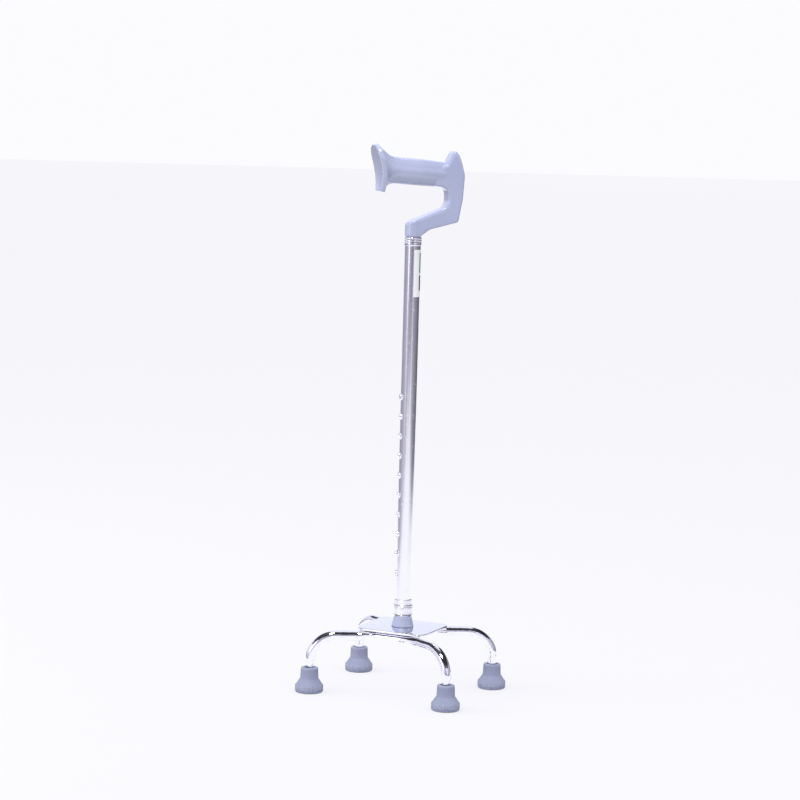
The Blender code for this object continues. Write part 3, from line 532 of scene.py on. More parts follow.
def make_button():
    radius, tip, dome, collar = 0.0024, eyelet_face + 0.0009, 0.0013, 0.0036
    profile = [(collar, 0.0048), (collar, 0.0060), (radius, 0.0060)]
    for step in range(9):
        angle = math.pi / 2 * step / 8.5
        profile.append((radius * math.cos(angle), tip - dome + dome * math.sin(angle)))
    button = turn_ring("Lock_button_domed", profile, steps=40, closed=False)
    stand_at_hole(button, button_height)
    shade(button)
    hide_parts("lock_button")
    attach(button, "button")
    return button


make_eyelets()
button = make_button()
print("eyelets at", [round(height, 4) for height in hole_heights])

# %% [markdown]
# At the tube's lower end a flanged sleeve is pressed on, and the lock nut screws onto it. At its
# upper end a bright ring with three ridges hides the joint with the handle. All three are
# turned, and a small bevel takes the razor edge off each shoulder.

# %% Lock nut, sleeve and top ring
sleeve_low, sleeve_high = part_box("threaded_sleeve")
locknut_low, locknut_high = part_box("locknut")
ring_low, ring_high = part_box("top_ring")


def make_sleeve():
    bottom, top = sleeve_low[2], sleeve_high[2]
    rim, seat = sleeve_high[0], tube_radius + 0.0001
    thread = rim - 0.0004
    foot = locknut_high[2] + gap
    groove = 0.0006
    profile = [(seat, bottom), (seat, top), (rim - 0.0004, top), (rim, top - 0.0004)]
    for share in (0.72, 0.30):
        height = foot + (top - foot) * share
        profile += [(rim, height + groove), (rim - groove, height + groove * 0.6),
                    (rim - groove, height - groove * 0.6), (rim, height - groove)]
    profile += [(rim, foot + 0.0003), (rim - 0.0003, foot), (thread - 0.0004, foot)]
    height = foot - 0.0004
    while height - thread_pitch > bottom:
        profile += [(thread, height - thread_pitch / 2), (thread - 0.0004, height - thread_pitch)]
        height -= thread_pitch
    profile.append((thread - 0.0004, bottom))
    return turn_ring("Sleeve_flanged", profile)


def make_locknut():
    bottom, top, radius = locknut_low[2], locknut_high[2], locknut_high[0]
    thread_bore = radius - 0.0011
    lip_bore = post_radius + gap
    nut = turn_ring("Lock_nut_turned", [
        (thread_bore, bottom + 0.0020), (thread_bore, top), (radius - 0.0005, top),
        (radius, top - 0.0005), (radius, top - 0.0016), (radius - 0.0002, top - 0.0018),
        (radius - 0.0002, top - 0.0022), (radius, top - 0.0024), (radius, bottom + 0.0024),
        (radius - 0.0004, bottom + 0.0012), (radius - 0.0013, bottom), (lip_bore, bottom),
        (lip_bore, bottom + 0.0020)])
    return soften(nut, 0.0002, segments=2, angle=35)


def make_top_ring():
    bottom, top, radius = ring_low[2], ring_high[2], ring_high[0]
    seat = tube_radius + 0.0001
    ridge = (top - bottom - 0.0018) / 3
    profile = [(seat, bottom), (seat, top), (radius - 0.0009, top)]
    for index in range(3):
        crown = top - index * ridge
        profile += [(radius - 0.0005, crown - 0.0002), (radius - 0.0002, crown - ridge * 0.25),
                    (radius - 0.0002, crown - ridge * 0.70),
                    (radius - 0.0007, crown - ridge * 0.90)]
    profile += [(radius, bottom + 0.0014), (radius, bottom + 0.0005), (radius - 0.0004, bottom)]
    return turn_ring("Top_ring_ribbed", profile)


sleeve, locknut, top_ring = make_sleeve(), make_locknut(), make_top_ring()
for piece, node, body, slot in ((sleeve, "threaded_sleeve", "upper", "anodised_aluminium"),
                                (locknut, "locknut", "nut", "anodised_aluminium"),
                                (top_ring, "top_ring", "upper", "chrome")):
    shade(piece, 40)
    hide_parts(node)
    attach(piece, body)
    print(piece.name, [round(v, 4) for v in piece.dimensions])

# %% [markdown]
# The label is a printed film wrapped half round the tube. A short cylinder wall is opened, the
# part of it that the film doesn't reach is deleted, and one lower corner is lifted off the
# tube a little, as films do. The Solidify modifier gives the film its thickness.

# %% Label
label_low, label_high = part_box("label")
label_arc = math.radians(194)
label_top, label_bottom = label_high[2], label_low[2]
label_film, label_rows = 0.00012, 24
# The lower corner is lifted in steps, each from a smaller part of the corner.
label_steps, label_reach, label_peel, label_lift = 5, 0.0045, 0.10, 0.00007


def around(v):
    """Angle of a point about the shaft, from the middle of the label, between -pi and pi."""
    return (math.atan2(v.y, v.x) - handle_turn + math.pi) % (2 * math.pi) - math.pi


def make_label():
    let_go()
    bpy.ops.mesh.primitive_cylinder_add(
        vertices=180, radius=tube_radius + label_film, depth=label_top - label_bottom,
        end_fill_type="NOTHING", location=(0, 0, (label_top + label_bottom) / 2),
        rotation=(0, 0, math.radians(1)))
    label = settle(bpy.context.object)
    label.name = "Label_film"
    pick(label, lambda c: abs(around(c)) > label_arc / 2, "FACE")
    bpy.ops.mesh.delete(type="FACE")
    for row in range(1, label_rows):
        height = label_bottom + (label_top - label_bottom) * row / label_rows
        bpy.ops.mesh.select_all(action="SELECT")
        bpy.ops.mesh.bisect(plane_co=(0, 0, height), plane_no=(0, 0, 1))
    out = label_lift * Vector((math.cos(handle_turn - label_arc / 2),
                               math.sin(handle_turn - label_arc / 2), 0))
    for step in range(label_steps, 0, -1):
        edge = -label_arc / 2 + label_peel * step
        height = label_bottom + label_reach * step / label_steps
        pick(label, lambda v: around(v) < edge and v.z < height)
        bpy.ops.transform.translate(value=out)
    bpy.ops.object.mode_set(mode="OBJECT")
    apply(label, "SOLIDIFY", thickness=label_film, offset=1)
    shade(label, 50)
    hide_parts("label")
    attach(label, "upper")
    return label


label = make_label()
print("label:", [round(v, 4) for v in label.dimensions])

# %% [markdown]
# The handle is one plastic moulding with soft blends between a flat-sided frame, an oval grip
# and a thumb rest. Fillets between such unlike forms are hard to bevel. So each form is made
# simply, all are joined, and a voxel remesh melts them into one skin, which is then smoothed.
# It is modelled upright along X and turned to its place at the end.

# %% Handle: the flat-sided frame
frame_thickness = 0.0208
frame_rounding = 0.0030
socket_radius = tube_radius + 0.0007
grip_height, grip_width = 0.0341, 0.0262
spine_inner, spine_outer = 0.0418, 0.0630
peak_r, peak_z = 0.0508, 0.1090
arm_height, arm_slope = 0.0172, 0.430


def grip_axis(r):
    return 0.0788 + (spine_inner - r) * 0.075


def rounded(corners, steps=7):
    """Points round a closed outline of (r, z, radius) corners, each turned by a soft curve."""
    points = []
    for index, (r, z, radius) in enumerate(corners):
        here = Vector((r, z))
        before = Vector(corners[index - 1][:2]) - here
        after = Vector(corners[(index + 1) % len(corners)][:2]) - here
        if radius <= 0:
            points.append(here)
            continue
        reach = min(radius / math.tan(before.angle(after) / 2), before.length * 0.49,
                    after.length * 0.49)
        start, end = here + before.normalized() * reach, here + after.normalized() * reach
        for step in range(steps + 1):
            t = step / steps
            points.append(start * (1 - t) ** 2 + here * (2 * t * (1 - t)) + end * t ** 2)
    return points


def make_handle_frame():
    arm_end = arm_height + (socket_radius + spine_inner) * arm_slope
    grip_low = grip_axis(spine_inner) - grip_height / 2
    corners = [
        (0.0, 0.0004, 0), (0.0070, 0.0004, 0.002), (0.0190, 0.0092, 0.014),
        (spine_outer - 0.0065, 0.0188, 0.003), (spine_outer - 0.0012, 0.0480, 0.030),
        (spine_outer + 0.0008, 0.0790, 0.030), (spine_outer - 0.0035, 0.0945, 0.012),
        (peak_r + 0.0050, peak_z - 0.0050, 0.008), (peak_r, peak_z + 0.0012, 0.004),
        (peak_r - 0.0042, peak_z - 0.0030, 0.004), (spine_inner - 0.0020, 0.0920, 0.005),
        (spine_inner - 0.0150, 0.0868, 0), (spine_inner - 0.0170, grip_low + 0.0035, 0),
        (spine_inner - 0.0001, grip_low, 0.012), (spine_inner + 0.0006, arm_end - 0.0008, 0.015),
        (0.0, arm_height + socket_radius * arm_slope, 0)]
    outline = draw_curve("frame", [(*place, 0) for place in rounded(corners)], closed=True)
    curve = outline.data
    curve.dimensions, curve.fill_mode = "2D", "BOTH"
    curve.extrude = frame_thickness / 2 - frame_rounding
    curve.bevel_depth, curve.bevel_resolution = frame_rounding, 5
    curve.offset = -frame_rounding
    bpy.ops.object.convert(target="MESH")
    outline.matrix_world = Matrix.Rotation(math.pi / 2, 4, "X")
    settle(outline)
    open_mesh(outline)
    close_mesh()
    return outline


handle_frame = make_handle_frame()
print("frame:", [round(v, 4) for v in handle_frame.dimensions])

# %% [markdown]
# The socket is a cylinder cut off along the arm's slope with a bisect, with the stem that goes
# down into the tube. The grip is an oval ring grown along X, station by station. The thumb
# rest is a grid: its columns are pushed in for the hollow, its rows are narrowed to the
# outline and leaned out, and Solidify gives it its thickness.


# %% Handle: socket, grip and thumb rest
def make_socket():
    let_go()
    bpy.ops.mesh.primitive_cylinder_add(vertices=96, radius=socket_radius, depth=0.05,
                                        location=(0, 0, 0.025))
    socket = settle(bpy.context.object)
    open_mesh(socket)
    bpy.ops.mesh.bisect(plane_co=(-socket_radius, 0, arm_height), plane_no=(-arm_slope, 0, 1),
                        use_fill=True, clear_outer=True)
    bpy.ops.object.mode_set(mode="OBJECT")
    soften(socket, 0.0016, segments=4, angle=40)
    stem_radius = tube_radius - tube_wall - gap
    stem = turn_ring("stem", [(stem_radius - 0.0010, -0.0420), (stem_radius, -0.0405),
                              (stem_radius, 0.0050)], closed=False)
    return socket, stem


def make_grip():
    flare_start, flare_lean, flare_lift = -0.0370, math.radians(3.3), 0.0009
    stations = ((spine_inner + 0.0090, 0.88, 0.72), (spine_inner + 0.0010, 0.90, 0.77),
                (spine_inner - 0.0070, 0.93, 0.83), (0.0220, 0.97, 0.94), (0.0060, 1.0, 1.0),
                (-0.0110, 1.0, 0.98), (-0.0215, 0.985, 0.95), (-0.0275, 1.0, 0.96),
                (-0.0315, 1.05, 1.0), (-0.0350, 1.14, 1.07), (-0.0380, 1.29, 1.18),
                (-0.0407, 1.42, 1.32), (-0.0438, 1.52, 1.44))
    let_go()
    r, tall, wide = stations[0]
    bpy.ops.mesh.primitive_circle_add(vertices=72, radius=1, fill_type="NGON",
                                      location=(r, 0, grip_axis(r)), rotation=(0, math.pi / 2, 0))
    grip = settle(bpy.context.object)
    open_mesh(grip)
    bpy.ops.transform.resize(value=(1, grip_width / 2 * wide, grip_height / 2 * tall),
                             center_override=(r, 0, grip_axis(r)))
    for new_r, new_tall, new_wide in stations[1:]:
        bpy.ops.mesh.extrude_region_move(TRANSFORM_OT_translate={
            "value": (new_r - r, 0, grip_axis(new_r) - grip_axis(r))})
        bpy.ops.transform.resize(value=(1, new_wide / wide, new_tall / tall),
                                 center_override=(new_r, 0, grip_axis(new_r)))
        if new_r < flare_start:
            bpy.ops.transform.rotate(value=flare_lean, orient_axis="Y",
                                     center_override=(new_r, 0, grip_axis(new_r)))
            bpy.ops.transform.translate(value=(0, 0, flare_lift))
        r, tall, wide = new_r, new_tall, new_wide
    close_mesh()
    return grip


rest_low, rest_height = 0.0575, 0.0579
rest_half_width = 0.0198
rest_face = -0.0452
rest_thickness = 0.0056
rest_widest, rest_waist = 0.66, 0.30


def rest_width(share):
    if share < rest_widest:
        return rest_half_width * (0.56 + 0.44 * math.sin(math.pi / 2 * share / rest_widest))
    fall = (share - rest_widest) / (1.008 - rest_widest)
    return rest_half_width * math.sqrt(1 - fall ** 2.1)


def rest_lean(share):
    if share < rest_waist:
        return -0.0013 * ((rest_waist - share) / rest_waist) ** 2
    return -0.0105 * ((share - rest_waist) / (1 - rest_waist)) ** 1.7


def make_rest():
    columns, rows = 16, 36
    aside = 10  # finished rows wait this far up, so that no later row's test finds them
    let_go()
    bpy.ops.mesh.primitive_grid_add(x_subdivisions=rows, y_subdivisions=columns, size=2,
                                    rotation=(0, -math.pi / 2, 0))
    rest = settle(bpy.context.object)
    for column in range(columns + 1):
        across = -1 + 2 * column / columns
        pick(rest, lambda v: abs(v.y - across) < 0.01)
        bpy.ops.transform.translate(value=(-0.0016 * across ** 2, 0, 0))
    for row in range(rows + 1):
        level = -1 + 2 * row / rows
        share = math.sin(math.pi / 2 * row / rows)
        pick(rest, lambda v: abs(v.z - level) < 0.01)
        bpy.ops.transform.resize(value=(1 - share ** 8, rest_width(share), 1),
                                 center_override=(0, 0, level))
        bpy.ops.transform.translate(value=(rest_face + rest_lean(share), 0,
                                           rest_low + rest_height * share - level + aside))
    bpy.ops.mesh.select_all(action="SELECT")
    bpy.ops.transform.translate(value=(0, 0, -aside))
    close_mesh()
    faces_out = rest.data.polygons[0].normal.x < 0
    return apply(rest, "SOLIDIFY", thickness=rest_thickness, offset=-1 if faces_out else 1)


socket, stem = make_socket()
grip = make_grip()
thumb_rest = make_rest()
for piece in (socket, stem, grip, thumb_rest):
    print(piece.name, [round(v, 4) for v in piece.dimensions])

# %% [markdown]
# Joining only puts the forms into one mesh. The Remesh modifier in voxel mode then wraps one
# even skin round them all, and a Smooth modifier turns each crease into a small fillet. At
# its place, the moulding's height is scaled to end exactly where the frame's handle ends.

# %% Handle: one skin
handle_voxel = 0.00062
take(handle_frame, socket, stem, grip, thumb_rest)
bpy.ops.object.join()
handle = handle_frame
handle.name = "Handle_moulding"
apply(handle, "REMESH", mode="VOXEL", voxel_size=handle_voxel, use_smooth_shade=True)
apply(handle, "SMOOTH", factor=0.5, iterations=16)
handle.matrix_world = Matrix.Translation((0, 0, handle_base)) @ turn_to_handle
settle(handle)
open_mesh(handle)
handle_stretch = ((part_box("handle")[1][2] - handle_base)
                  / (max(v.co.z for v in handle.data.vertices) - handle_base))
bpy.ops.transform.resize(value=(1, 1, handle_stretch), center_override=(0, 0, handle_base))
bpy.ops.object.mode_set(mode="OBJECT")
bpy.ops.object.shade_smooth()
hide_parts("handle")
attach(handle, "upper")
print("handle:", len(handle.data.polygons), "faces", [round(v, 4) for v in handle.dimensions])

# %% [markdown]
# Materials come next. Three effects are shared by several finishes, so each is a node group:
# a fine grain for bump, a cloudy variation for colour and roughness, and a mask that finds
# worn edges. A group only puts out masks and values; the Principled shader stays outside.


# %% Shared effects as node groups
def add(tree, kind, inputs, **settings):
    """Add a node: settings are its properties, inputs the values or sources of its sockets."""
    node = tree.nodes.new("ShaderNode" + kind)
    for name, value in settings.items():
        setattr(node, name, value)
    for name, value in inputs.items():
        if isinstance(value, bpy.types.NodeSocket):
            tree.links.new(value, node.inputs[name])
        else:
            node.inputs[name].default_value = value
    return node


def math_node(tree, operation, *values):
    return add(tree, "Math", dict(enumerate(values)), operation=operation).outputs[0]


def remap(tree, source, low_in, high_in, low_out, high_out):
    return add(tree, "MapRange", {"Value": source, "From Min": low_in, "From Max": high_in,
                                  "To Min": low_out, "To Max": high_out}).outputs["Result"]


def new_group(name, **inputs):
    """A group with its number inputs; gives it, its Object coordinates and those inputs."""
    group = bpy.data.node_groups.new(name, "ShaderNodeTree")
    for title, value in inputs.items():
        given = group.interface.new_socket(title.replace("_", " "), in_out="INPUT",
                                           socket_type="NodeSocketFloat")
        given.default_value = value
    place = add(group, "TexCoord", {}).outputs["Object"]
    return group, place, group.nodes.new("NodeGroupInput").outputs


def put_out(group, **outputs):
    for title in outputs:
        group.interface.new_socket(title, in_out="OUTPUT", socket_type="NodeSocketFloat")
    end = group.nodes.new("NodeGroupOutput")
    for title, source in outputs.items():
        group.links.new(source, end.inputs[title])
    return group


def make_grain_group():
    """Fine, even grain, as mould texture or a casting skin has."""
    group, place, given = new_group("fine_grain", Scale=900.0, Detail=4.0)
    noise = add(group, "TexNoise", {"Vector": place, "Scale": given["Scale"],
                                    "Detail": given["Detail"], "Roughness": 0.6})
    return put_out(group, Grain=noise.outputs["Fac"])


def make_drift_group():
    """Slow clouds and small smudges, from 0 to 1."""
    group, place, given = new_group("drift", Cloud_Scale=30.0, Smudge_Scale=160.0)
    cloud = add(group, "TexNoise", {"Vector": place, "Scale": given["Cloud Scale"], "Detail": 3})
    smudge = add(group, "TexNoise", {"Vector": place, "Scale": given["Smudge Scale"],
                                     "Detail": 6, "Distortion": 0.6})
    return put_out(group, Cloud=remap(group, cloud.outputs["Fac"], 0.3, 0.7, 0, 1),
                   Smudge=remap(group, smudge.outputs["Fac"], 0.48, 0.72, 0, 1))


def make_drawn_group():
    """Fine lines along the shaft and scattered nicks, as drawn and anodised tube shows."""
    group, place, given = new_group("drawn_lines", Line_Scale=1.0)
    stretch = add(group, "VectorMath", {0: place, 1: (900, 900, 9)}, operation="MULTIPLY")
    scaled = add(group, "VectorMath", {0: stretch.outputs["Vector"],
                                       "Scale": given["Line Scale"]}, operation="SCALE")
    lines = add(group, "TexNoise", {"Vector": scaled.outputs["Vector"], "Scale": 1, "Detail": 3})
    nicks = add(group, "TexVoronoi", {"Vector": place, "Scale": 150})
    return put_out(group, Lines=lines.outputs["Fac"],
                   Nicks=remap(group, nicks.outputs["Distance"], 0.10, 0.16, 1, 0))


def make_wear_group():
    """Finds convex edges, broken up by noise: 1 where handling has rubbed them."""
    group, place, given = new_group("edge_wear", Break_Up=220.0)
    shape = add(group, "NewGeometry", {})
    noise = add(group, "TexNoise", {"Vector": place, "Scale": given["Break Up"], "Detail": 5})
    edges = remap(group, shape.outputs["Pointiness"], 0.515, 0.56, 0, 1)
    patches = remap(group, noise.outputs["Fac"], 0.40, 0.62, 0, 1)
    return put_out(group, Wear=math_node(group, "MULTIPLY", edges, patches))


fine_grain, drift = make_grain_group(), make_drift_group()
drawn_lines, edge_wear = make_drawn_group(), make_wear_group()
print("groups:", [group.name for group in (fine_grain, drift, drawn_lines, edge_wear)])

# %% [markdown]
# A finish is then one short call: its own colours, its uniform values set on the shader's
# sockets, and the shared groups mixed in with its own scales.


# %% Building a finish
class Finish:
    """A Principled material being put together."""

    def __init__(self, name, colour, roughness, metallic=0.0, **uniform):
        self.material = bpy.data.materials.new(name)
        self.material.use_nodes = True
        self.tree = self.material.node_tree
        self.shader = self.tree.nodes["Principled BSDF"]
        uniform.update(Base_Color=(*colour, 1), Roughness=roughness, Metallic=metallic)
        for title, value in uniform.items():
            self.shader.inputs[title.replace("_", " ")].default_value = value
        self.material.diffuse_color = (*colour, 1)

    def group(self, tree, **values):
        inputs = {title.replace("_", " "): value for title, value in values.items()}
        return add(self.tree, "Group", inputs, node_tree=tree).outputs

    def blend(self, factor, *ends):
        """A colour that goes from one end to the other as factor goes from 0 to 1."""
        first, second = [(*end, 1) if isinstance(end, tuple) else end for end in ends]
        return add(self.tree, "Mix", {"Factor": factor, 6: first, 7: second},
                   data_type="RGBA").outputs[2]

    def feed(self, title, source):
        self.tree.links.new(source, self.shader.inputs[title])

    def roughness(self, source, low_out, high_out):
        self.feed("Roughness", remap(self.tree, source, 0, 1, low_out, high_out))

    def bump(self, source, distance, strength=1.0):
        inputs = {"Distance": distance, "Strength": strength, "Height": source}
        last = self.shader.inputs["Normal"]
        if last.is_linked:
            inputs["Normal"] = last.links[0].from_socket
        self.feed("Normal", add(self.tree, "Bump", inputs).outputs["Normal"])

    def grain(self, scale, depth, detail=4.0):
        self.bump(self.group(fine_grain, Scale=scale, Detail=detail)["Grain"], depth)


def mix_finish(name, base, scales, tints, gloss, grain, wear=None, **uniform):
    """Clouds between two tints, smudged gloss, a grain, and edges rubbed to another colour."""
    finish = Finish(name, *base, **uniform)
    clouds = finish.group(drift, Cloud_Scale=scales[0], Smudge_Scale=scales[1])
    tint = finish.blend(clouds["Cloud"], *tints)
    if wear:
        break_up, rubbed = wear
        tint = finish.blend(finish.group(edge_wear, Break_Up=break_up)["Wear"], tint, rubbed)
    finish.feed("Base Color", tint)
    finish.roughness(clouds["Smudge"], *gloss)
    finish.grain(*grain)
    return finish


print("ready to mix finishes")

# %% [markdown]
# The handle is a lavender grey, smooth plastic. A moulding is never quite even: its gloss and
# tint drift a little, a faint orange-peel shows in the highlights, and the palm has polished
# the raised edges.

# %% Plastics, rubber and nylon
handle_finish = mix_finish(
    "handle_plastic_satin", ((0.44, 0.48, 0.70), 0.22), scales=(24.0, 120.0),
    tints=((0.430, 0.470, 0.690), (0.458, 0.500, 0.720)), gloss=(0.20, 0.34),
    grain=(1400.0, 0.000004, 3.0), wear=(180.0, (0.52, 0.56, 0.78)),
    Coat_Weight=1.0, Coat_Roughness=0.09, Specular_IOR_Level=0.7)

# The boss is the same colour in a cheaper, duller plastic.
boss_finish = mix_finish(
    "boss_plastic_satin", ((0.33, 0.37, 0.52), 0.42), scales=(60.0, 260.0),
    tints=((0.345, 0.375, 0.540), (0.380, 0.412, 0.580)), gloss=(0.36, 0.52),
    grain=(2200.0, 0.00003), wear=(300.0, (0.46, 0.50, 0.68)))

# Rubber is matt and grainy, dusty where it scuffs the floor.
rubber_finish = Finish("tip_rubber_matt", (0.27, 0.30, 0.42), 0.7, Specular_IOR_Level=0.35)
clouds = rubber_finish.group(drift, Cloud_Scale=70.0, Smudge_Scale=300.0)
worn = rubber_finish.group(edge_wear, Break_Up=420.0)
tint = rubber_finish.blend(clouds["Cloud"], (0.240, 0.265, 0.395), (0.275, 0.300, 0.435))
dusty = rubber_finish.blend(clouds["Smudge"], tint, (0.275, 0.298, 0.425))
rubber_finish.feed("Base Color", rubber_finish.blend(worn["Wear"], dusty, (0.370, 0.390, 0.520)))
rubber_finish.roughness(clouds["Cloud"], 0.60, 0.80)
rubber_finish.grain(3200.0, 0.00008, 5.0)

nylon_finish = mix_finish(
    "nylon_moulded", ((0.80, 0.80, 0.78), 0.5), scales=(90.0, 260.0),
    tints=((0.76, 0.76, 0.73), (0.84, 0.84, 0.82)), gloss=(0.45, 0.60), grain=(2600.0, 0.00003))
print("plastic, rubber and nylon are mixed")

# %% [markdown]
# Bright metal shows its surroundings, so its own texture is slight: chrome has faint smudges
# and a shallow waviness from the bent tube beneath, and drawn aluminium has lines along its
# length and small nicks from handling.

# %% Metals
def make_chrome(name, waviness):
    finish = Finish(name, (0.90, 0.90, 0.95), 0.05, 1.0)
    clouds = finish.group(drift, Cloud_Scale=75.0, Smudge_Scale=200.0)
    finish.feed("Base Color", finish.blend(clouds["Smudge"], (0.91, 0.91, 0.955),
                                           (0.85, 0.85, 0.90)))
    finish.roughness(clouds["Smudge"], 0.03, 0.10)
    finish.bump(clouds["Cloud"], waviness, 0.3)
    finish.grain(260.0, waviness / 8, 2.0)
    return finish


flat_chrome = make_chrome("chrome_on_flat_steel", 0.0001)
bent_chrome = make_chrome("chrome_on_bent_tube", 0.0009)

aluminium_finish = Finish("aluminium_anodised", (0.80, 0.80, 0.84), 0.3, 1.0)
drawn = aluminium_finish.group(drawn_lines)
clouds = aluminium_finish.group(drift, Cloud_Scale=22.0, Smudge_Scale=130.0)
tint = aluminium_finish.blend(clouds["Cloud"], (0.84, 0.83, 0.87), (0.93, 0.93, 0.96))
streaked = aluminium_finish.blend(drawn["Lines"], tint, (0.96, 0.96, 0.98))
aluminium_finish.feed("Base Color", aluminium_finish.blend(drawn["Nicks"], streaked,
                                                           (0.98, 0.98, 1.0)))
aluminium_finish.roughness(drawn["Lines"], 0.10, 0.26)
aluminium_finish.bump(drawn["Lines"], 0.00003, 0.6)
aluminium_finish.bump(drawn["Nicks"], 0.00012, 0.6)

turned_finish = mix_finish(
    "aluminium_turned", ((0.86, 0.86, 0.89), 0.2, 1.0), scales=(60.0, 240.0),
    tints=((0.93, 0.93, 0.96), (0.98, 0.98, 1.0)), gloss=(0.30, 0.42), grain=(1800.0, 0.00002))
zinc_finish = mix_finish(
    "zinc_plated_steel", ((0.66, 0.67, 0.70), 0.32, 1.0), scales=(120.0, 420.0),
    tints=((0.58, 0.60, 0.64), (0.74, 0.74, 0.76)), gloss=(0.26, 0.44),
    grain=(2400.0, 0.00003), wear=(500.0, (0.86, 0.86, 0.88)))
print("metals are mixed")

# %% [markdown]
# The label is white film. In place of any print it carries a green and a dark band, placed by
# the angle about the shaft, which is worked out from Object coordinates.


# %% Label film
def make_label_finish():
    finish = Finish("label_film_white", (0.86, 0.86, 0.90), 0.35)
    tree = finish.tree
    place = add(tree, "TexCoord", {}).outputs["Object"]
    parts = add(tree, "SeparateXYZ", {0: place}).outputs
    around_shaft = math_node(tree, "ARCTAN2", parts["Y"], parts["X"])

    def band(source, start, end):
        """1 where the source is between start and end, else 0."""
        return math_node(tree, "MULTIPLY", math_node(tree, "GREATER_THAN", source, start),
                         math_node(tree, "LESS_THAN", source, end))

    strip = band(around_shaft, math.radians(-7), math.radians(26))
    green_part = band(parts["Z"], label_top - 0.0290, label_top - 0.0040)
    dark_part = band(parts["Z"], label_bottom + 0.0080, label_top - 0.0320)
    clouds = finish.group(drift, Cloud_Scale=50.0, Smudge_Scale=300.0)
    film = finish.blend(clouds["Cloud"], (0.90, 0.91, 0.97), (0.96, 0.97, 1.0))
    greened = finish.blend(math_node(tree, "MULTIPLY", strip, green_part), film,
                           (0.05, 0.30, 0.14))
    finish.feed("Base Color", finish.blend(math_node(tree, "MULTIPLY", strip, dark_part),
                                           greened, (0.03, 0.03, 0.07)))
    finish.roughness(clouds["Smudge"], 0.28, 0.45)
    finish.grain(1500.0, 0.00002)
    return finish


label_finish = make_label_finish()
print("label film is mixed")

# %% [markdown]
# Every new piece takes its finish, and so does every CAD node that stays: the plug, its pin,
# the bush, the collet, the leaf spring and the discs in the tips are hidden, but they show
# when the cane is taken apart.


# %% Giving out the finishes
def dress(piece, finish):
    if not piece.material_slots:
        piece.data.materials.append(finish.material)
    for place in piece.material_slots:
        place.material = finish.material


dress(handle, handle_finish)
dress(boss, boss_finish)
dress(label, label_finish)
for piece in tips:
    dress(piece, rubber_finish)
for piece in (plate, top_ring):
    dress(piece, flat_chrome)
for piece in legs:
    dress(piece, bent_chrome)
for piece in (outer_tube, inner_tube):
    dress(piece, aluminium_finish)
eyelets = [piece for piece in bpy.data.objects if piece.name.startswith("Eyelet_rolled_")]
for piece in (sleeve, locknut, *eyelets):
    dress(piece, turned_finish)
for piece in (stud, nut, washer, button):
    dress(piece, zinc_finish)

kept_nodes = {"post_plug": turned_finish, "plug_pin": zinc_finish, "button_spring": zinc_finish,
              "inner_bush": nylon_finish, "collet_ring": nylon_finish}
for side in ("front", "rear"):
    for end in ("left", "right"):
        kept_nodes[f"tip_washer_{side}_{end}"] = zinc_finish
for node, finish in kept_nodes.items():
    dress(frame["nodes"][node], finish)
print("dressed", len(kept_nodes), "kept nodes")

# %% [markdown]
# The stage is a wide white floor in a dim studio. Chrome and aluminium only show what
# stands around them, so the studio is described by directions: how bright it is all the way
# round, and how it darkens upwards. The camera itself sees plain white.

# %% Directions on the stage
camera_azimuth = math.radians(24.97)
camera_pitch = math.radians(7.18)
camera_roll = math.radians(1.55)
backdrop_white = (0.972, 0.972, 1.0)


def seen_from_camera(azimuth_deg, distance, height):
    """A place at an angle to the right of the camera, as seen from above."""
    angle = camera_azimuth + math.radians(azimuth_deg)
    return (distance * math.sin(angle), -distance * math.cos(angle), height)


print("camera direction:", [round(v, 3) for v in seen_from_camera(0, 1, 0)])

# %% Studio
# Degrees to the right of the camera, and how bright the studio is that way.
studio_around = ((-180, 0.38), (-125, 0.36), (-64, 0.48), (-52, 0.66), (-42, 0.52), (-26, 0.38),
                 (-12, 0.21), (8, 0.20), (26, 0.52), (40, 0.34), (90, 0.20), (135, 0.11),
                 (180, 0.24))
# Height of a direction, from straight down at -1 to straight up at 1, and its share of light.
studio_upward = ((-1, 0.9), (0.0, 1.0), (0.10, 2.2), (0.42, 2.4), (0.50, 0.25), (0.70, 0.08),
                 (1, 0.30))
ambient_upward = ((-1, 0.40), (0, 0.66), (1, 0.86))
studio_tint = (0.93, 0.90, 1.12)


def ramp(tree, source, stops, low, high, tint=(1, 1, 1)):
    """A colour ramp over a value from low to high, with (value, brightness) stops."""
    node = add(tree, "ValToRGB", {"Fac": remap(tree, source, low, high, 0, 1)})
    elements = node.color_ramp.elements
    while len(elements) < len(stops):
        elements.new(1.0)
    for element, (value, bright) in zip(elements, stops):
        element.position = (value - low) / (high - low)
        element.color = (*[bright * part for part in tint], 1)
    return node.outputs["Color"]


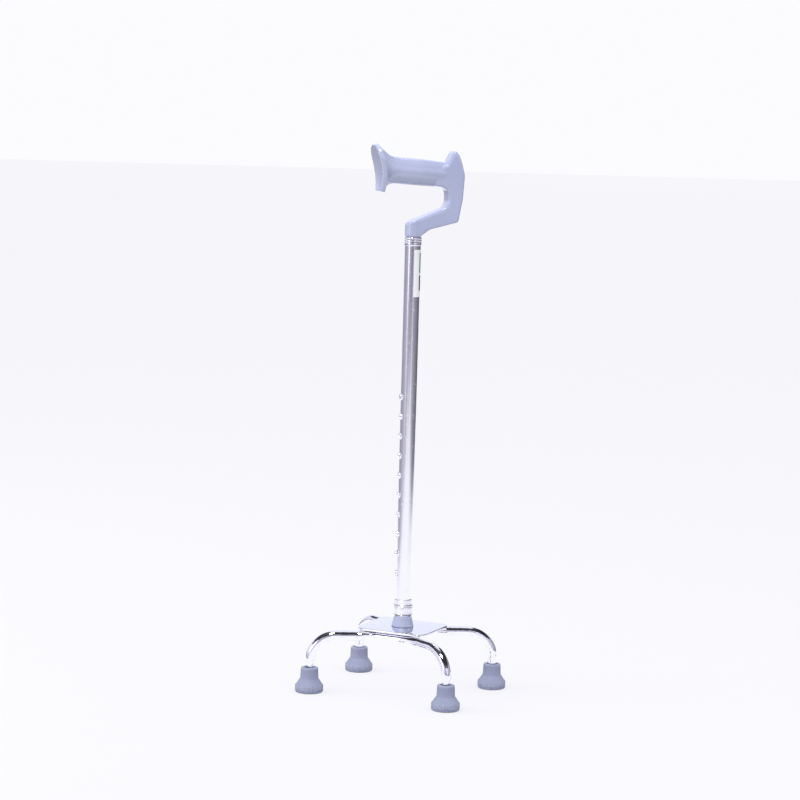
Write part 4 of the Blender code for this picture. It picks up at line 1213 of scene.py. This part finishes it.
def make_studio():
    world = bpy.data.worlds.new("Studio")
    bpy.context.scene.world = world
    world.use_nodes = True
    tree = world.node_tree
    tree.nodes.clear()
    place = add(tree, "TexCoord", {}).outputs["Generated"]
    turned = add(tree, "VectorRotate", {"Vector": place, "Angle": -camera_azimuth},
                 rotation_type="Z_AXIS")
    parts = add(tree, "SeparateXYZ", {0: turned.outputs["Vector"]}).outputs
    angle = math_node(tree, "ARCTAN2", parts["X"], math_node(tree, "MULTIPLY", parts["Y"], -1))
    around_stage = ramp(tree, math_node(tree, "DEGREES", angle), studio_around, -180, 180,
                        studio_tint)
    upward = ramp(tree, parts["Z"], studio_upward, -1, 1)
    mirrored = add(tree, "Mix", {"Factor": 1, 6: around_stage, 7: upward},
                   data_type="RGBA", blend_type="MULTIPLY").outputs[2]
    rays = add(tree, "LightPath", {}).outputs
    colour = ramp(tree, parts["Z"], ambient_upward, -1, 1)
    for ray, seen in (("Is Glossy Ray", mirrored), ("Is Camera Ray", (*backdrop_white, 1))):
        colour = add(tree, "Mix", {"Factor": rays[ray], 6: colour, 7: seen},
                     data_type="RGBA").outputs[2]
    background = add(tree, "Background", {"Color": colour})
    add(tree, "OutputWorld", {"Surface": background.outputs["Background"]})


make_studio()
bpy.context.scene.view_settings.view_transform = "Standard"
print("studio:", len(studio_around), "directions around")

# %% [markdown]
# The camera sees a wide white floor, which metal doesn't mirror. Metal sees three white cards
# instead: one lying beside the feet, a wall behind and one overhead. Of the lights, the sun
# and the softbox on the left are mirrored; two more softboxes only light the surfaces.


# %% Floor, cards and lights
def stage_plane(name, place, size, finish, aim=None):
    let_go()
    bpy.ops.mesh.primitive_plane_add(size=1, location=place)
    plane = bpy.context.object
    plane.name = name
    bpy.ops.transform.resize(value=(*size, 1))
    plane.rotation_euler = (0, 0, camera_azimuth)
    if aim:
        way = Vector(aim) - Vector(place)
        plane.rotation_euler = way.to_track_quat("Z", "Y").to_euler()
    dress(plane, finish)
    return plane


def make_floor():
    """The floor glows a little more far away, where the lights no longer reach it."""
    glow_near, glow_far = 0.556, 0.684
    finish = Finish("floor_paper", (0.30, 0.30, 0.312), 0.8, Specular_IOR_Level=0.0,
                    Emission_Color=(0.955, 0.953, 1.0, 1))
    clouds = finish.group(drift, Cloud_Scale=1.5, Smudge_Scale=8.0)
    finish.feed("Base Color", finish.blend(clouds["Cloud"], (0.295, 0.295, 0.305),
                                           (0.305, 0.305, 0.32)))
    place = add(finish.tree, "TexCoord", {}).outputs["Object"]
    reach = add(finish.tree, "VectorMath", {0: place}, operation="LENGTH").outputs["Value"]
    finish.feed("Emission Strength", remap(finish.tree, reach, 0.4, 4.0, glow_near, glow_far))
    floor = stage_plane("Floor", (0, 0, 0), (30, 30), finish)
    floor.visible_glossy = False
    floor.visible_diffuse = False


def make_card(name, place, size, colour, aim=None):
    card = stage_plane(name, place, size, Finish(
        name.lower() + "_finish", (0.01, 0.01, 0.01), 0.9, Specular_IOR_Level=0.0,
        Emission_Color=(*colour, 1), Emission_Strength=1.0), aim)
    for kind in ("camera", "diffuse", "shadow", "transmission"):
        setattr(card, f"visible_{kind}", False)


def make_light(name, kind, place, energy, aim, **settings):
    let_go()
    bpy.ops.object.light_add(type=kind, location=place)
    light = bpy.context.object
    light.name = name
    light.data.energy = energy
    for title, value in settings.items():
        setattr(light.data, title, value)
    light.rotation_euler = (Vector(aim) - Vector(place)).to_track_quat("-Z", "Y").to_euler()
    return light


def make_softbox(name, place, size, energy, mirrored=True):
    light = make_light(name, "AREA", place, energy, (0, 0, 0.35), shape="RECTANGLE",
                       size=size[0], size_y=size[1])
    light.visible_glossy = mirrored


make_floor()
make_card("Wall_card", seen_from_camera(180, 3.2, 3.0), (2.8, 6.0), (0.87, 0.90, 1.07),
          aim=(0, 0, 3.0))
make_card("Ceiling_card", seen_from_camera(180, 1.9, 6.0), (3.4, 3.4), (0.95, 0.96, 1.04))
make_card("Paper_card", seen_from_camera(112, 0.27, 0.0003), (2.3, 6.2), (1.02, 1.02, 1.12))
make_light("Light_key", "SUN", seen_from_camera(-18, 1.3, 2.3), 1.8, (0, 0, 0),
           angle=math.radians(12), use_shadow=False)
make_softbox("Softbox_left", seen_from_camera(-52, 2.6, 1.0), (0.5, 1.5), 3.5)
make_softbox("Softbox_fill", seen_from_camera(-85, 2.4, 1.2), (1.2, 1.6), 17, mirrored=False)
make_softbox("Softbox_side", seen_from_camera(65, 2.4, 1.2), (1.2, 1.6), 5, mirrored=False)

# %% [markdown]
# The camera stands a little above the handle and leans slightly.


# %% Camera
def make_camera():
    let_go()
    bpy.ops.object.camera_add()
    camera = bpy.context.object
    turn = Matrix.Rotation(camera_azimuth, 4, "Z")
    place = turn @ Vector((camera_aside, -camera_distance, camera_height))
    camera.matrix_world = (Matrix.Translation(place) @ turn
                           @ Matrix.Rotation(math.pi / 2 - camera_pitch, 4, "X")
                           @ Matrix.Rotation(camera_roll, 4, "Z"))
    camera.data.lens, camera.data.sensor_width = camera_lens, 36
    camera.data.clip_end = 100
    bpy.context.scene.camera = camera
    return camera


camera_distance, camera_height, camera_aside, camera_lens = 3.5216, 0.8150, -0.0109, 127.0
camera = make_camera()
print("camera at", [round(v, 3) for v in camera.location])
